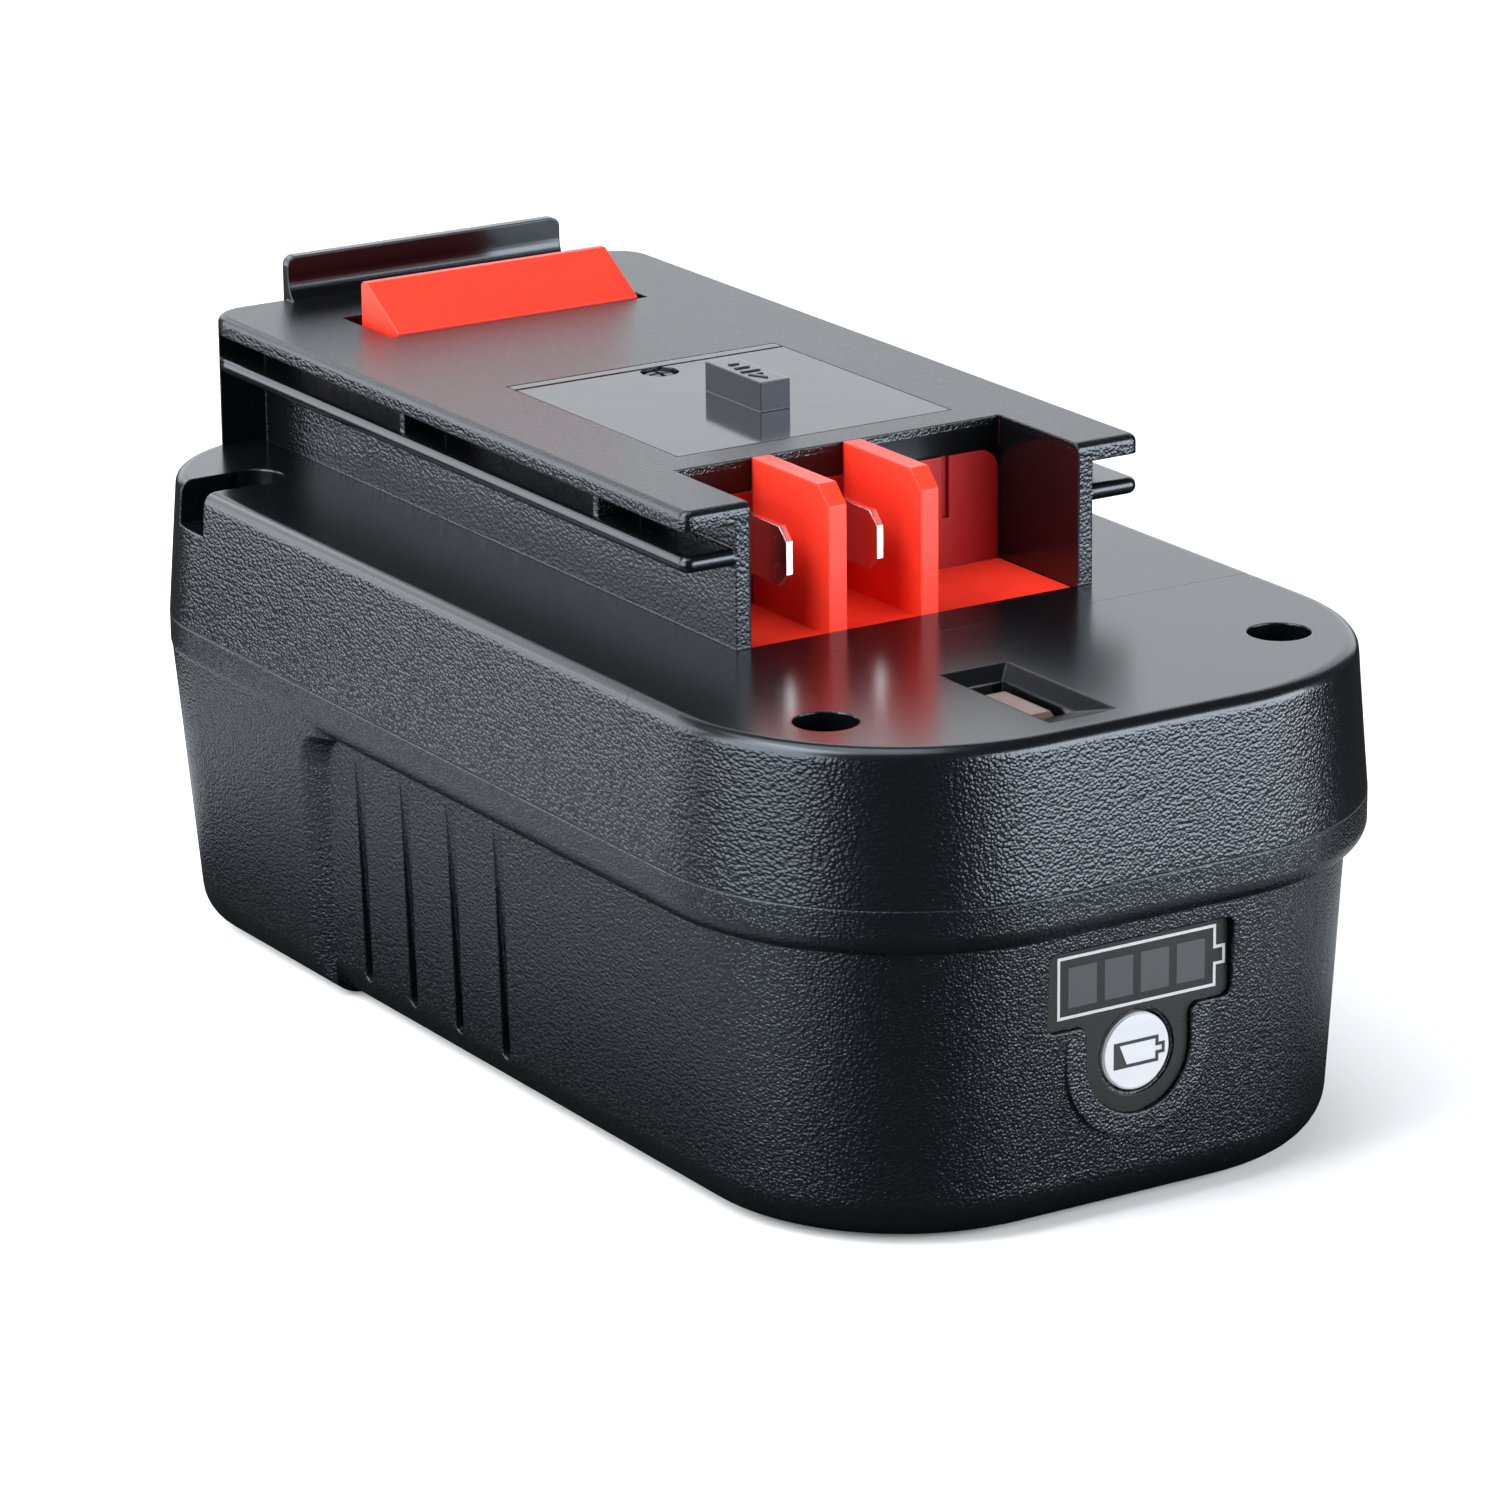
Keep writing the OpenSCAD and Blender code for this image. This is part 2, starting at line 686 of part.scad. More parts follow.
module lower_case() {
    board_slot_y = gauge_board_w / 2;
    color("#17181b")
        difference() {
            union() {
                difference() {
                    union() {
                        carry_round(case_plan) {
                            lip_outline();
                            leaning_outline([-tub_inset, lip_low], tub_draft);
                        }
                        flush_wall();
                        along_x(gauge_back, bezel_x) {
                            translate([0, button_z])
                                circle(bezel_r);
                            translate([-bezel_r, button_z])
                                square([2 * bezel_r, gauge_z - button_z]);
                        }
                    }
                    carry_round(case_plan)
                        tub_space_outline();
                    for (i = [0 : groove_n - 1])
                        for (m = [0, 1])
                            mirror([0, m, 0])
                                grip_groove(step_x + groove_lead + i * groove_pitch);
                }
                // Flat seat behind the gauge
                block([gauge_back, -gauge_w / 2, bottom_r + cut], [gauge_x - cut, gauge_w / 2, lip_low]);
                // Bosses for the cover's screws
                for (p = screw_places)
                    translate([p.x, p.y, floor_t - floor_sink])
                        cylinder(h = parting_h - floor_t + floor_sink, r = tub_boss_r);
                // Stops at both ends of the cell holders
                for (s = [-1, 1], x = [holder_x[0] - stop_t, holder_x[1]])
                    block([x, s * stop_y - stop_w / 2, floor_t - floor_sink],
                        [x + stop_t, s * stop_y + stop_w / 2, floor_t + stop_h]);
                // Slotted guides for the gauge board
                for (y = [-board_slot_y, board_slot_y])
                    translate([gauge_board_x - board_t / 2, y, 0])
                        block([-board_t / 2 - board_guide_t, -board_guide_w / 2, floor_t - floor_sink],
                            [board_t / 2 + board_guide_t, board_guide_w / 2, gauge_z]);
            }
            for (p = screw_places)
                translate([p.x, p.y, parting_h - screw_depth])
                    cylinder(h = screw_depth + cut, d = screw_d);
            block([gauge_board_x - board_t, -board_slot_y, gauge_board_low],
                [gauge_board_x, board_slot_y, gauge_z + cut]);
            along_x(gauge_x, bezel_x + 3 * cut)
                gauge_outline(0, button_recess_r);
            at_segments()
                translate([gauge_back - cut, -segment_w / 2 - fit / 2, -segment_h / 2 - fit / 2])
                    cube([gauge_wall + 2 * cut, segment_w + fit, segment_h + fit]);
            rod_x(gauge_back - cut, gauge_x + cut, 0, button_z, button_r + button_gap);
        }
}

// Core, plate, rails, webs and stop flange of the tower, still solid
module tower_body() {
    cove_d = flange_foot - flange_t;
    cove_r = (cove_d * cove_d + flange_cove * flange_cove) / (2 * cove_d);
    block([tower_rear + cut, -core_y, deck_low], [tower_front, core_y, plate_low + cut]);
    carry_round(plate_plan)
        slab_outline(plate_low, plate_top, plate_edge_r, false);
    carry_round(plate_plan)
        slab_outline(rail_low, rail_low + rail_t, rail_edge_r);
    intersection() {
        carry_round(plate_plan)
            slab_outline(deck_low, plate_top - plate_edge_r, plate_edge_r);
        block([tower_rear - cut, -rail_w, deck_low + plate_edge_r],
            [tower_rear + rear_fin_t, rail_w, plate_top]);
    }
    for (i = [0, 1])
        translate([key_front - i * web_pitch - web_t / 2, -rail_w / 2 + cut, rail_low + rail_t / 2])
            cube([web_t, rail_w - 2 * cut, plate_low - rail_low]);
    intersection() {
        along_y(-flange_l / 2, flange_l / 2)
            translate([tower_rear, plate_top])
                polygon(concat([[0, flange_h], [0, -plate_edge_r], [flange_foot, -plate_edge_r]],
                    arc([flange_t + cove_r, flange_cove], cove_r, 180 + asin(flange_cove / cove_r), 180),
                    [[flange_t, flange_h]]));
        along_x(tower_rear - cut, tower_rear + flange_foot + cut) {
            translate([-flange_l / 2, plate_low])
                square([flange_l, plate_t + flange_h - flange_r]);
            translate([flange_r - flange_l / 2, plate_low])
                square([flange_l - 2 * flange_r, plate_t + flange_h]);
            for (s = [-1, 1])
                translate([s * (flange_l / 2 - flange_r), plate_top + flange_h - flange_r])
                    circle(flange_r);
        }
    }
}

// A cut with sides that slope in from a rectangle at the top to a smaller one below
module bevelled_cut(x, y, top, depth, bevel, ramp) {
    intersection() {
        along_y(y[0] - cut, y[1] + cut)
            polygon([[x[0], top], [x[1], top], [x[1] - ramp, top - depth], [x[0] + bevel, top - depth]]);
        along_x(x[0] - cut, x[1] + cut)
            polygon([[y[0], top], [y[1], top], [y[1] - bevel, top - depth], [y[0] + bevel, top - depth]]);
    }
}

module top_cover() {
    window_ys = [window_y - window_w / 2, window_y + window_w / 2];
    slot_floor = deck_h - side_slot_depth;
    slot_block_w = side_slot_w + 2 * slot_block_wall;
    slot_block_low = slot_floor - slot_block_wall;
    color("#1d1f23")
        difference() {
            union() {
                difference() {
                    union() {
                        carry_round(case_plan)
                            skirt_outline();
                        tower_body();
                    }
                    carry_round(case_plan)
                        cover_space_outline();
                    // Space inside the tower, and the terminal bays in front of it
                    block([tower_rear + rear_wall_t, -hollow_y, deck_low - cut],
                        [bay_rear, hollow_y, plate_low]);
                    block([bay_rear, -hollow_y, deck_low - cut], [tower_front, hollow_y, plate_top + cut]);
                }
                // Bosses for the cover's screws, and the blocks that carry the side slots
                for (p = screw_places)
                    translate([p.x, p.y, parting_h])
                        cylinder(h = deck_h - deck_t / 2 - parting_h, r = cover_boss_r);
                for (m = [0, 1])
                    mirror([0, m, 0])
                        translate([-screw_x, 0, 0])
                            block([-slot_block_w / 2, rear_screw_y - cover_boss_r, slot_block_low],
                                [slot_block_w / 2, half_w - wall / 2, deck_low + cut]);
                // Pillars that hold the cell holders down
                for (x = [holder_x[0] + pillar_inset, holder_x[1] - pillar_inset], s = [-1, 1])
                    translate([x, s * (cell_half - holder_d / 2), holder_top])
                        cylinder(h = deck_low - holder_top + cut, r = pillar_r);
                // Lintel over the terminal block's back wall
                block([bay_rear - back_wall_t, -hollow_y - core_wall / 2, back_top + block_gap],
                    [bay_rear, hollow_y + core_wall / 2, plate_low + plate_t / 4]);
                // Stake of the sense contact, boss of the key plate's screw, hangers of the latch retainer
                translate([stake_x, window_y, deck_low - stake_h])
                    cylinder(h = stake_h + cut, r = stake_r);
                translate([key_screw_x, 0, plate_low - key_boss_h])
                    cylinder(h = key_boss_h + plate_t / 4, d = small_screw_d + 2 * boss_wall);
                for (s = [-1, 1])
                    translate([hanger_x, s * hanger_y, retainer_top])
                        cylinder(h = plate_low - retainer_top + plate_t / 4, r = hanger_r);
            }
            // Recess and screw hole of the key plate
            block([key_rear, -key_w / 2, key_low], [key_front, key_w / 2, plate_top + cut]);
            translate([key_screw_x, 0, plate_low - key_boss_h - cut])
                cylinder(h = key_boss_h + plate_t + cut, d = small_screw_d);
            // Slot of the latch wedge, window of its thumb pad, screw holes of its retainer
            block([slot_rear, -slot_w / 2, plate_low - cut], [slot_front, slot_w / 2, plate_top + cut]);
            block([tower_rear - 3 * cut, -pad_w / 2 - latch_gap, pad_low - latch_travel - latch_gap],
                [tower_rear + 2 * rear_wall_t, pad_w / 2 + latch_gap, pad_top + latch_gap]);
            for (s = [-1, 1])
                translate([hanger_x, s * hanger_y, retainer_top - cut])
                    cylinder(h = hanger_depth + cut, d = small_screw_d);
            // Screw wells
            for (p = screw_places) {
                translate([p.x, p.y, well_seat])
                    cylinder(h = well_depth + cut, d = well_d);
                translate([p.x, p.y, parting_h - cut])
                    cylinder(h = deck_h - parting_h, d = screw_d + screw_play);
            }
            // Side slots that run out through the skirt
            for (m = [0, 1])
                mirror([0, m, 0])
                    block([-screw_x - side_slot_w / 2, rear_screw_y, slot_floor],
                        [-screw_x + side_slot_w / 2, half_w + 3 * cut, deck_h + cut]);
            // Contact window
            bevelled_cut(window_x, window_ys, deck_h, deck_t - window_lip, window_bevel, window_ramp);
            block([window_x[0] + window_bevel, window_ys[0] + window_bevel, deck_low - cut],
                [window_x[1] - window_ramp, window_ys[1] - window_bevel, deck_low + window_lip + cut]);
        }
}

// A cross-head screw with its head's seat at height 0
module cross_screw(thread_d, head_d, head_h, length) {
    rim_h = 0.6 * head_h;
    crown_d = 0.7 * head_d;
    cross_l = 0.64 * head_d;
    cross_w = cross_l / 4;
    cross_floor = 0.45 * head_h;
    difference() {
        union() {
            translate([0, 0, -length])
                cylinder(h = length, d = thread_d);
            cylinder(h = rim_h, d = head_d);
            translate([0, 0, rim_h])
                cylinder(h = head_h - rim_h, d1 = head_d, d2 = crown_d);
        }
        for (turn = [0, 90])
            rotate(turn)
                translate([-cross_l / 2, -cross_w / 2, cross_floor])
                    cube([cross_l, cross_w, head_h]);
    }
}

module cover_screws() {
    color("#8f9297")
        for (p = screw_places)
            translate([p.x, p.y, well_seat])
                cross_screw(screw_d, screw_head_d, screw_head_h, well_seat - parting_h + screw_depth - cut);
}

module key_plate() {
    post_front = key_front - post_setback;
    line_x = key_rear + 1.6;
    line_w = 0.5;
    line_depth = 0.3;
    color("#101114")
        difference() {
            union() {
                block([key_rear + fit, fit - key_w / 2, key_low],
                    [key_front - fit, key_w / 2 - fit, plate_top]);
                block([post_front - post_l, post_y - post_w / 2, key_low],
                    [post_front, post_y + post_w / 2, plate_top + post_h]);
            }
            translate([key_screw_x, 0, key_low - cut])
                cylinder(h = key_t + 2 * cut, d = small_screw_d + screw_play);
            translate([key_screw_x, 0, plate_top - small_head_h - fit])
                cylinder(h = key_t, d = small_head_d + 2 * fit);
            // Fine groove along the rear edge
            block([line_x, -key_w / 2, plate_top - line_depth],
                [line_x + line_w, key_w / 2, plate_top + cut]);
        }
}

module key_screw() {
    color("#b9bcc1")
        translate([key_screw_x, 0, plate_top - small_head_h - fit])
            cross_screw(small_screw_d, small_head_d, small_head_h, key_boss_h);
}

// Outline of a divider between two bays, in X and Z
module divider_outline() {
    polygon([[bay_rear - cut, block_floor - cut], [tower_front, block_floor - cut],
        [tower_front, plate_top - divider_bevel], [tower_front - divider_bevel, plate_top],
        [bay_rear, plate_top], [bay_rear, back_top], [bay_rear - cut, back_top]]);
}

module terminal_block() {
    block_y = hollow_y - block_gap;
    block_rear = bay_rear - back_wall_t;
    block_front = tower_front - block_gap;
    block_low = deck_low - block_flange;
    bevel = 0.8;
    corner_r = 2.4;
    slit_shift = 11.6;
    slit_y = divider_b_y + slit_shift;
    slit_w = 0.8;
    slit_d = 0.6;
    slit_h = 6.8;
    color("#e0331f")
        difference() {
            union() {
                // Floor, with a small bevel along its front edge
                along_y(-block_y, block_y)
                    polygon([[block_rear, block_low], [block_front, block_low],
                        [block_front, block_floor - bevel], [block_front - bevel, block_floor],
                        [block_rear, block_floor]]);
                // Back wall, with its corner on the right rounded
                along_x(block_rear, bay_rear)
                    polygon(concat([[-block_y, back_top], [-block_y, block_floor - cut]],
                        [[block_y, block_floor - cut]],
                        arc([block_y - corner_r, back_top - corner_r], corner_r, 0, 90)));
                for (y = [divider_a_y, divider_b_y])
                    along_y(y - divider_t / 2, y + divider_t / 2)
                        divider_outline();
                // Flange that bears on the underside of the deck, and legs that stand on the board
                block([block_rear, -block_y - block_flange, block_low],
                    [tower_front + block_flange, block_y + block_flange, deck_low]);
                for (s = [-1, 1])
                    translate([bay_rear + bay_l / 2, s * block_leg_y, board_top])
                        cylinder(h = block_low - board_top + cut, r = block_leg_r);
            }
            // Slots for the blades
            for (y = [negative_y, positive_y])
                block([block_rear - cut, y - blade_t / 2, blade_z - blade_h / 2],
                    [bay_rear + cut, y + blade_t / 2, blade_z + blade_h / 2]);
            // Upright slit in the back wall of the empty bay
            block([bay_rear - slit_d, slit_y, back_top - slit_h],
                [bay_rear + cut, slit_y + slit_w, plate_top]);
        }
}

// A spade blade that passes through the block's back wall and turns down onto the board
module blade(y) {
    tip = bay_rear + blade_l;
    tail = bay_rear - back_wall_t - blade_tail;
    high = blade_z + blade_h / 2;
    low = blade_z - blade_h / 2;
    color("#d9dadc")
        along_y(y - blade_t / 2, y + blade_t / 2)
            polygon([[tail - blade_leg_l, board_top], [tail, board_top], [tail, low],
                [tip - blade_bevel, low], [tip, low + blade_bevel], [tip, high - blade_bevel],
                [tip - blade_bevel, high], [tail - blade_leg_l, high]]);
}

module positive_blade() {
    blade(positive_y);
}

module negative_blade() {
    blade(negative_y);
}

// Leaf that is staked under the deck and steps up into the window, with its end bent down
module sense_contact() {
    root_lap = 3.5;
    leaf_mid = deck_low - leaf_t / 2;
    step_x = window_x[0] + window_bevel + leaf_gap;
    step_run = 1;
    flat_end = window_x[1] - window_ramp - end_run;
    path = [[stake_x - root_lap, leaf_mid], [step_x, leaf_mid], [step_x + step_run, leaf_top],
        [flat_end, leaf_top], [flat_end + end_run - leaf_gap, leaf_top - end_drop]];
    color("#d8c3ad")
        difference() {
            along_y(window_y - leaf_w / 2, window_y + leaf_w / 2)
                for (i = [0 : len(path) - 2])
                    let (run = path[i + 1] - path[i])
                        translate(path[i]) {
                            rotate(atan2(run.y, run.x))
                                translate([0, -leaf_t / 2])
                                    square([norm(run), leaf_t]);
                            if (i > 0)
                                circle(d = leaf_t);
                        }
            translate([stake_x, window_y, deck_low - leaf_t - cut])
                cylinder(h = leaf_t + 2 * cut, r = stake_r + cell_fit);
        }
}

// A round finger groove across the thumb pad
module finger_groove(z) {
    translate([pad_rear - finger_r / 3, pad_w / 2 + cut, z])
        rotate([90, 0, 0])
            cylinder(h = pad_w + 2 * cut, r = finger_r);
}

module latch() {
    side_y = slot_w / 2 + 4 * latch_gap;
    tail_y = hanger_y - hanger_r - 2 * latch_gap;
    crest_l = 1.3;
    crest_edge = 0.4;
    crest_top = plate_top + wedge_h;
    foot_top = plate_top + 0.2;
    color("#e0331f")
        difference() {
            union() {
                block([slot_rear + latch_gap, -side_y, carrier_low],
                    [slot_front + latch_gap, side_y, carrier_top]);
                block([carrier_rear, -tail_y, carrier_low],
                    [slot_rear + 2 * latch_gap, tail_y, carrier_top]);
                // Wedge that slopes down to the front
                along_y(-wedge_y, wedge_y)
                    polygon([[wedge_rear, carrier_low], [wedge_front, carrier_low], [wedge_front, foot_top],
                        [wedge_rear + crest_l, crest_top], [wedge_rear + crest_edge, crest_top],
                        [wedge_rear, crest_top - crest_edge]]);
                // Thumb pad behind the tower
                block([pad_rear, -pad_w / 2, pad_low], [carrier_rear + cut, pad_w / 2, pad_top]);
                for (s = [-1, 1])
                    translate([spring_x, s * spring_y, carrier_low - peg_h])
                        cylinder(h = peg_h + cut, r = peg_r);
            }
            // Finger grooves
            for (i = [1 : 3])
                finger_groove(pad_low + i * pad_h / 4);
        }
}

module latch_retainer() {
    color("#2a2c30")
        difference() {
            union() {
                block([carrier_rear, latch_gap - hollow_y, retainer_top - retainer_t],
                    [slot_front, hollow_y - latch_gap, retainer_top]);
                for (s = [-1, 1])
                    translate([spring_x, s * spring_y, retainer_top - cut])
                        cylinder(h = cup_h + cut, r = cup_r + cup_t);
            }
            for (s = [-1, 1]) {
                translate([spring_x, s * spring_y, retainer_top])
                    cylinder(h = cup_h + cut, r = cup_r);
                translate([hanger_x, s * hanger_y, retainer_top - retainer_t - cut])
                    cylinder(h = retainer_t + 2 * cut, d = small_screw_d + screw_play);
            }
        }
}

module latch_screws() {
    color("#8f9297")
        for (s = [-1, 1])
            translate([hanger_x, s * hanger_y, retainer_top - retainer_t])
                mirror([0, 0, 1])
                    cross_screw(small_screw_d, small_head_d, 2 * small_head_h,
                        retainer_t + hanger_depth - cut);
}

// A coil of round wire that stands on height 0
module coil(radius, wire_d, height, turns) {
    sides = 6;
    steps = 12 * turns;
    ring_tube([for (i = [0 : steps], j = [0 : sides - 1])
        let (turn = 360 * turns * i / steps, out = radius + wire_d / 2 * cos(360 * j / sides))
        [out * cos(turn), out * sin(turn),
            wire_d / 2 + (height - wire_d) * i / steps + wire_d / 2 * sin(360 * j / sides)]], sides);
}

module latch_spring(side) {
    color("#c9ccd0")
        translate([spring_x, side * spring_y, retainer_top])
            coil(spring_r, spring_wire, carrier_low - retainer_top, spring_turns);
}

module latch_spring_left() {
    latch_spring(-1);
}

module latch_spring_right() {
    latch_spring(1);
}

module gauge_label() {
    color("#24262a")
        difference() {
            along_x(gauge_x, gauge_x + label_t)
                gauge_outline(fit, button_recess_r - fit);
            rod_x(gauge_x - cut, gauge_x + cut, 0, button_z, button_r + 2 * button_gap);
        }
}

module light_guide() {
    guide_y = (3 * segment_pitch + segment_w) / 2 + 2 * guide_rim;
    guide_low = max(gauge_z - segment_h / 2 - guide_rim, button_z + button_flange_r + button_gap);
    color("#9fa3a8") {
        block([gauge_back - guide_t, -guide_y, guide_low],
            [gauge_back, guide_y, gauge_z + segment_h / 2 + guide_rim]);
        at_segments()
            translate([gauge_back - cut, -segment_w / 2, -segment_h / 2])
                cube([gauge_wall + cut, segment_w, segment_h]);
        // Feet that stand on the gauge board
        for (s = [-1, 1])
            translate([gauge_board_x, s * (guide_y - guide_foot / 2) - guide_foot / 2, gauge_z - guide_foot])
                cube([gauge_back - guide_t + cut / 2 - gauge_board_x, guide_foot, 2 * guide_foot]);
    }
}

module gauge_button() {
    color("#e9e8e4") {
        rod_x(button_flange_x - cut, button_front - button_edge, 0, button_z, button_r);
        rod_x(gauge_back, button_front, 0, button_z, button_r - button_edge);
        rod_x(button_tail, button_flange_x, 0, button_z, button_flange_r);
    }
}

module gauge_board() {
    color("#1f6b3a")
        block([gauge_board_x - board_t, -gauge_board_w / 2, gauge_board_low],
            [gauge_board_x, gauge_board_w / 2, gauge_board_top]);
}

module gauge_leds() {
    color("#f3efe2")
        at_segments()
            translate([gauge_board_x, -led_size.y / 2, -led_size.z / 2])
                cube(led_size);
}

module switch_body() {
    color("#34363b")
        difference() {
            block([gauge_board_x, -switch_w / 2, button_z - switch_w / 2],
                [switch_front, switch_w / 2, button_z + switch_w / 2]);
            rod_x(gauge_board_x + switch_floor, switch_front + cut, 0, button_z, plunger_r + plunger_fit);
        }
}

module switch_plunger() {
    color("#b8322a")
        rod_x(gauge_board_x + switch_floor + button_travel + press_play, button_tail, 0, button_z, plunger_r);
}

// A holder for one end of all cells, drawn for the +Y side
module holder(side) {
    y0 = cell_half - holder_d;
    color("#3a3d42")
        mirror([0, side < 0 ? 1 : 0, 0])
            difference() {
                union() {
                    block([holder_x[0], y0, floor_t], [holder_x[1], cell_half, holder_top]);
                    // Posts that carry the protection board
                    for (x = post_xs)
                        translate([x, post_side, holder_top - cut])
                            cylinder(h = board_lift + cut, r = post_r);
                }
                for (i = [0 : cell_columns - 1], z = cell_row_z)
                    translate([column_x(i), cell_half + cut, z])
                        rotate([90, 0, 0])
                            cylinder(h = holder_d + 2 * cut, d = cell_d + 2 * cell_fit);
                for (x = post_xs)
                    translate([x, post_side, board_low - post_bore])
                        cylinder(h = post_bore + cut, d = small_screw_d);
            }
}

module holder_left() {
    holder(-1);
}

module holder_right() {
    holder(1);
}

// A round cell; odd columns have their cap on the left, even ones on the right
module cell(index) {
    column = floor((index - 1) / 2);
    turn = column % 2 == 0 ? 1 : -1;
    edge = 0.8;
    cap_h = 1.6;
    cap_r = 4.2;
    shoulder = cell_half - cap_h;
    color("#3f7fae")
        translate([column_x(column), 0, cell_row_z[(index - 1) % 2]])
            rotate([90 * turn, 0, 0])
                rotate_extrude()
                    polygon([[0, -cell_half], [cell_d / 2 - edge, -cell_half], [cell_d / 2, edge - cell_half],
                        [cell_d / 2, shoulder - edge], [cell_d / 2 - edge, shoulder],
                        [cap_r, shoulder], [cap_r - edge / 2, cell_half], [0, cell_half]]);
}

// A welded link over the cells of some columns, with a tab folded onto the protection board
module cell_link(side, first, last) {
    x = [column_x(first), column_x(last)];
    y = cell_half;
    tab_x = (x[0] + x[1]) / 2 + tab_shift * sign(2 * pack_x - x[0] - x[1]);
    color("#c4c6c9")
        mirror([0, side < 0 ? 1 : 0, 0]) {
            block([x[0] - link_w / 2, y, cell_row_z[0] - link_w / 2],
                [x[1] + link_w / 2, y + link_t, cell_row_z[1] + link_w / 2]);
            translate([tab_x, 0, 0]) {
                block([-tab_w / 2, y, cell_row_z[1]], [tab_w / 2, y + link_t, board_top + link_t]);
                block([-tab_w / 2, main_board_w / 2 - tab_lap, board_top],
                    [tab_w / 2, y + link_t, board_top + link_t]);
            }
        }
}

module link_left_1() {
    cell_link(-1, 0, 0);
}

module link_left_2() {
    cell_link(-1, 1, 2);
}

module link_left_3() {
    cell_link(-1, 3, 4);
}

module link_right_1() {
    cell_link(1, 0, 1);
}

module link_right_2() {
    cell_link(1, 2, 3);
}

module link_right_3() {
    cell_link(1, 4, 4);
}

// A paper that covers the links of one side
module paper(side) {
    inset = 2;
    lift = 3;
    y = cell_half + link_t;
    color("#d8d3bd")
        mirror([0, side < 0 ? 1 : 0, 0])
            block([holder_x[0] + inset, y, floor_t + lift], [holder_x[1] - inset, y + paper_t, holder_top]);
}

module paper_left() {
    paper(-1);
}

module paper_right() {
    paper(1);
}

module protection_board() {
    color("#1f6b3a")
        difference() {
            block([board_x[0], -main_board_w / 2, board_low], [board_x[1], main_board_w / 2, board_top]);
            for (x = post_xs, y = [-post_side, post_side])
                translate([x, y, board_low - cut])
                    cylinder(h = board_t + 2 * cut, d = small_screw_d + screw_play);
        }
}

module power_transistors() {
    color("#26282c")
        for (i = [0 : 3])
            translate([transistor_x, (i - 1.5) * transistor_pitch - transistor_size.y / 2, board_top])
                cube(transistor_size);
}

module control_chip() {
    color("#26282c")
        translate([transistor_x + transistor_size.x + chip_gap, -chip_size.y / 2, board_top])
            cube(chip_size);
}

module board_screws() {
    color("#8f9297")
        for (x = post_xs, y = [-post_side, post_side])
            translate([x, y, board_top])
                cross_screw(small_screw_d, small_head_d, 2 * small_head_h,
                    board_t + post_bore - cut);
}

function unit(v) = v / norm(v);

// Direction across a route at one of its points, lengthened to a mitre where the route bends
function mitre(route, i) =
    let (
        before = unit(route[max(i, 1)] - route[max(i, 1) - 1]),
        after = unit(route[min(i + 1, len(route) - 1)] - route[min(i, len(route) - 2)]),
        mean = unit(before + after)
    )
    [-mean.y, mean.x] / (mean * before);

// A round wire along a route in X and Z
module wire(route, y, d) {
    sides = 8;
    ring_tube([for (i = [0 : len(route) - 1], j = [0 : sides - 1])
        let (side = mitre(route, i) * d / 2 * cos(360 * j / sides))
        [route[i].x + side.x, y + d / 2 * sin(360 * j / sides), route[i].y + side.y]], sides);
}

module sense_lead() {
    lead_d = 1.2;
    run = 2;
    start = [stake_x - run, deck_low - leaf_t - lead_d / 2];
    landing = [board_x[1] + 1, board_top + lead_d / 2];
    color("#e8e4d8")
        wire([start, start - [run, 0], landing, landing - [2 * run, 0]], window_y, lead_d);
}

// Outline of a flat strip along a route in X and Z
module strip_outline(route, t) {
    last = len(route) - 1;
    side = [for (i = [0 : last]) mitre(route, i) * t / 2];
    polygon(concat([for (i = [0 : last]) route[i] + side[i]],
        [for (i = [last : -1 : 0]) route[i] - side[i]]));
}

module gauge_cable() {
    t = 1;
    width = 6;
    side_gap = 2;
    bend_gap = 4;
    run = 3;
    start = [gauge_board_x - board_t, gauge_z];
    corner = [holder_x[1] + bend_gap, holder_top];
    landing = [board_x[1] + run, board_top + t / 2];
    color("#b7b9bd")
        along_y(side_gap, side_gap + width)
            strip_outline([start, start - [run, 0], corner, landing, landing - [2.5 * run, 0]], t);
}

// Bead that rests between two cells, with its legs on the board
module thermistor() {
    bead_r = 1.5;
    leg_d = 0.6;
    bead_x = pack_x - cell_pitch / 2;
    bead_z = cell_row_z[1] + sqrt(pow(cell_d / 2 + bead_r + cell_fit, 2) - pow(cell_pitch / 2, 2));
    color("#20242b")
        translate([bead_x, 0, bead_z]) {
            sphere(bead_r);
            for (s = [-1, 1])
                translate([0, s * bead_r / 2, 0])
                    cylinder(h = board_low - bead_z, d = leg_d);
        }
}

lower_case();
top_cover();
cover_screws();
key_plate();
key_screw();
terminal_block();
positive_blade();
negative_blade();
sense_contact();
latch();
latch_retainer();
latch_screws();
latch_spring_left();
latch_spring_right();
gauge_label();
light_guide();
gauge_button();
gauge_board();
gauge_leds();
switch_body();
switch_plunger();
holder_left();
holder_right();
link_left_1();
link_left_2();
link_left_3();
link_right_1();
link_right_2();
link_right_3();
paper_left();
paper_right();
protection_board();
power_transistors();
control_chip();
board_screws();
sense_lead();
gauge_cable();
thermistor();
// The ten cells share one module
cell(1);  // cell_1
cell(2);  // cell_2
cell(3);  // cell_3
cell(4);  // cell_4
cell(5);  // cell_5
cell(6);  // cell_6
cell(7);  // cell_7
cell(8);  // cell_8
cell(9);  // cell_9
cell(10);  // cell_10
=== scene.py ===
"""Looks of a slide-on battery pack for a cordless power tool, dressed over its CAD frame.

All lengths in this file are millimetres until a mesh, lamp or camera is placed, where they become metres.
"""

import logging
import math
from dataclasses import dataclass
from enum import Enum
from typing import Any, Callable, Sequence, Union

import bmesh
import bpy
from mathutils import Matrix, Vector

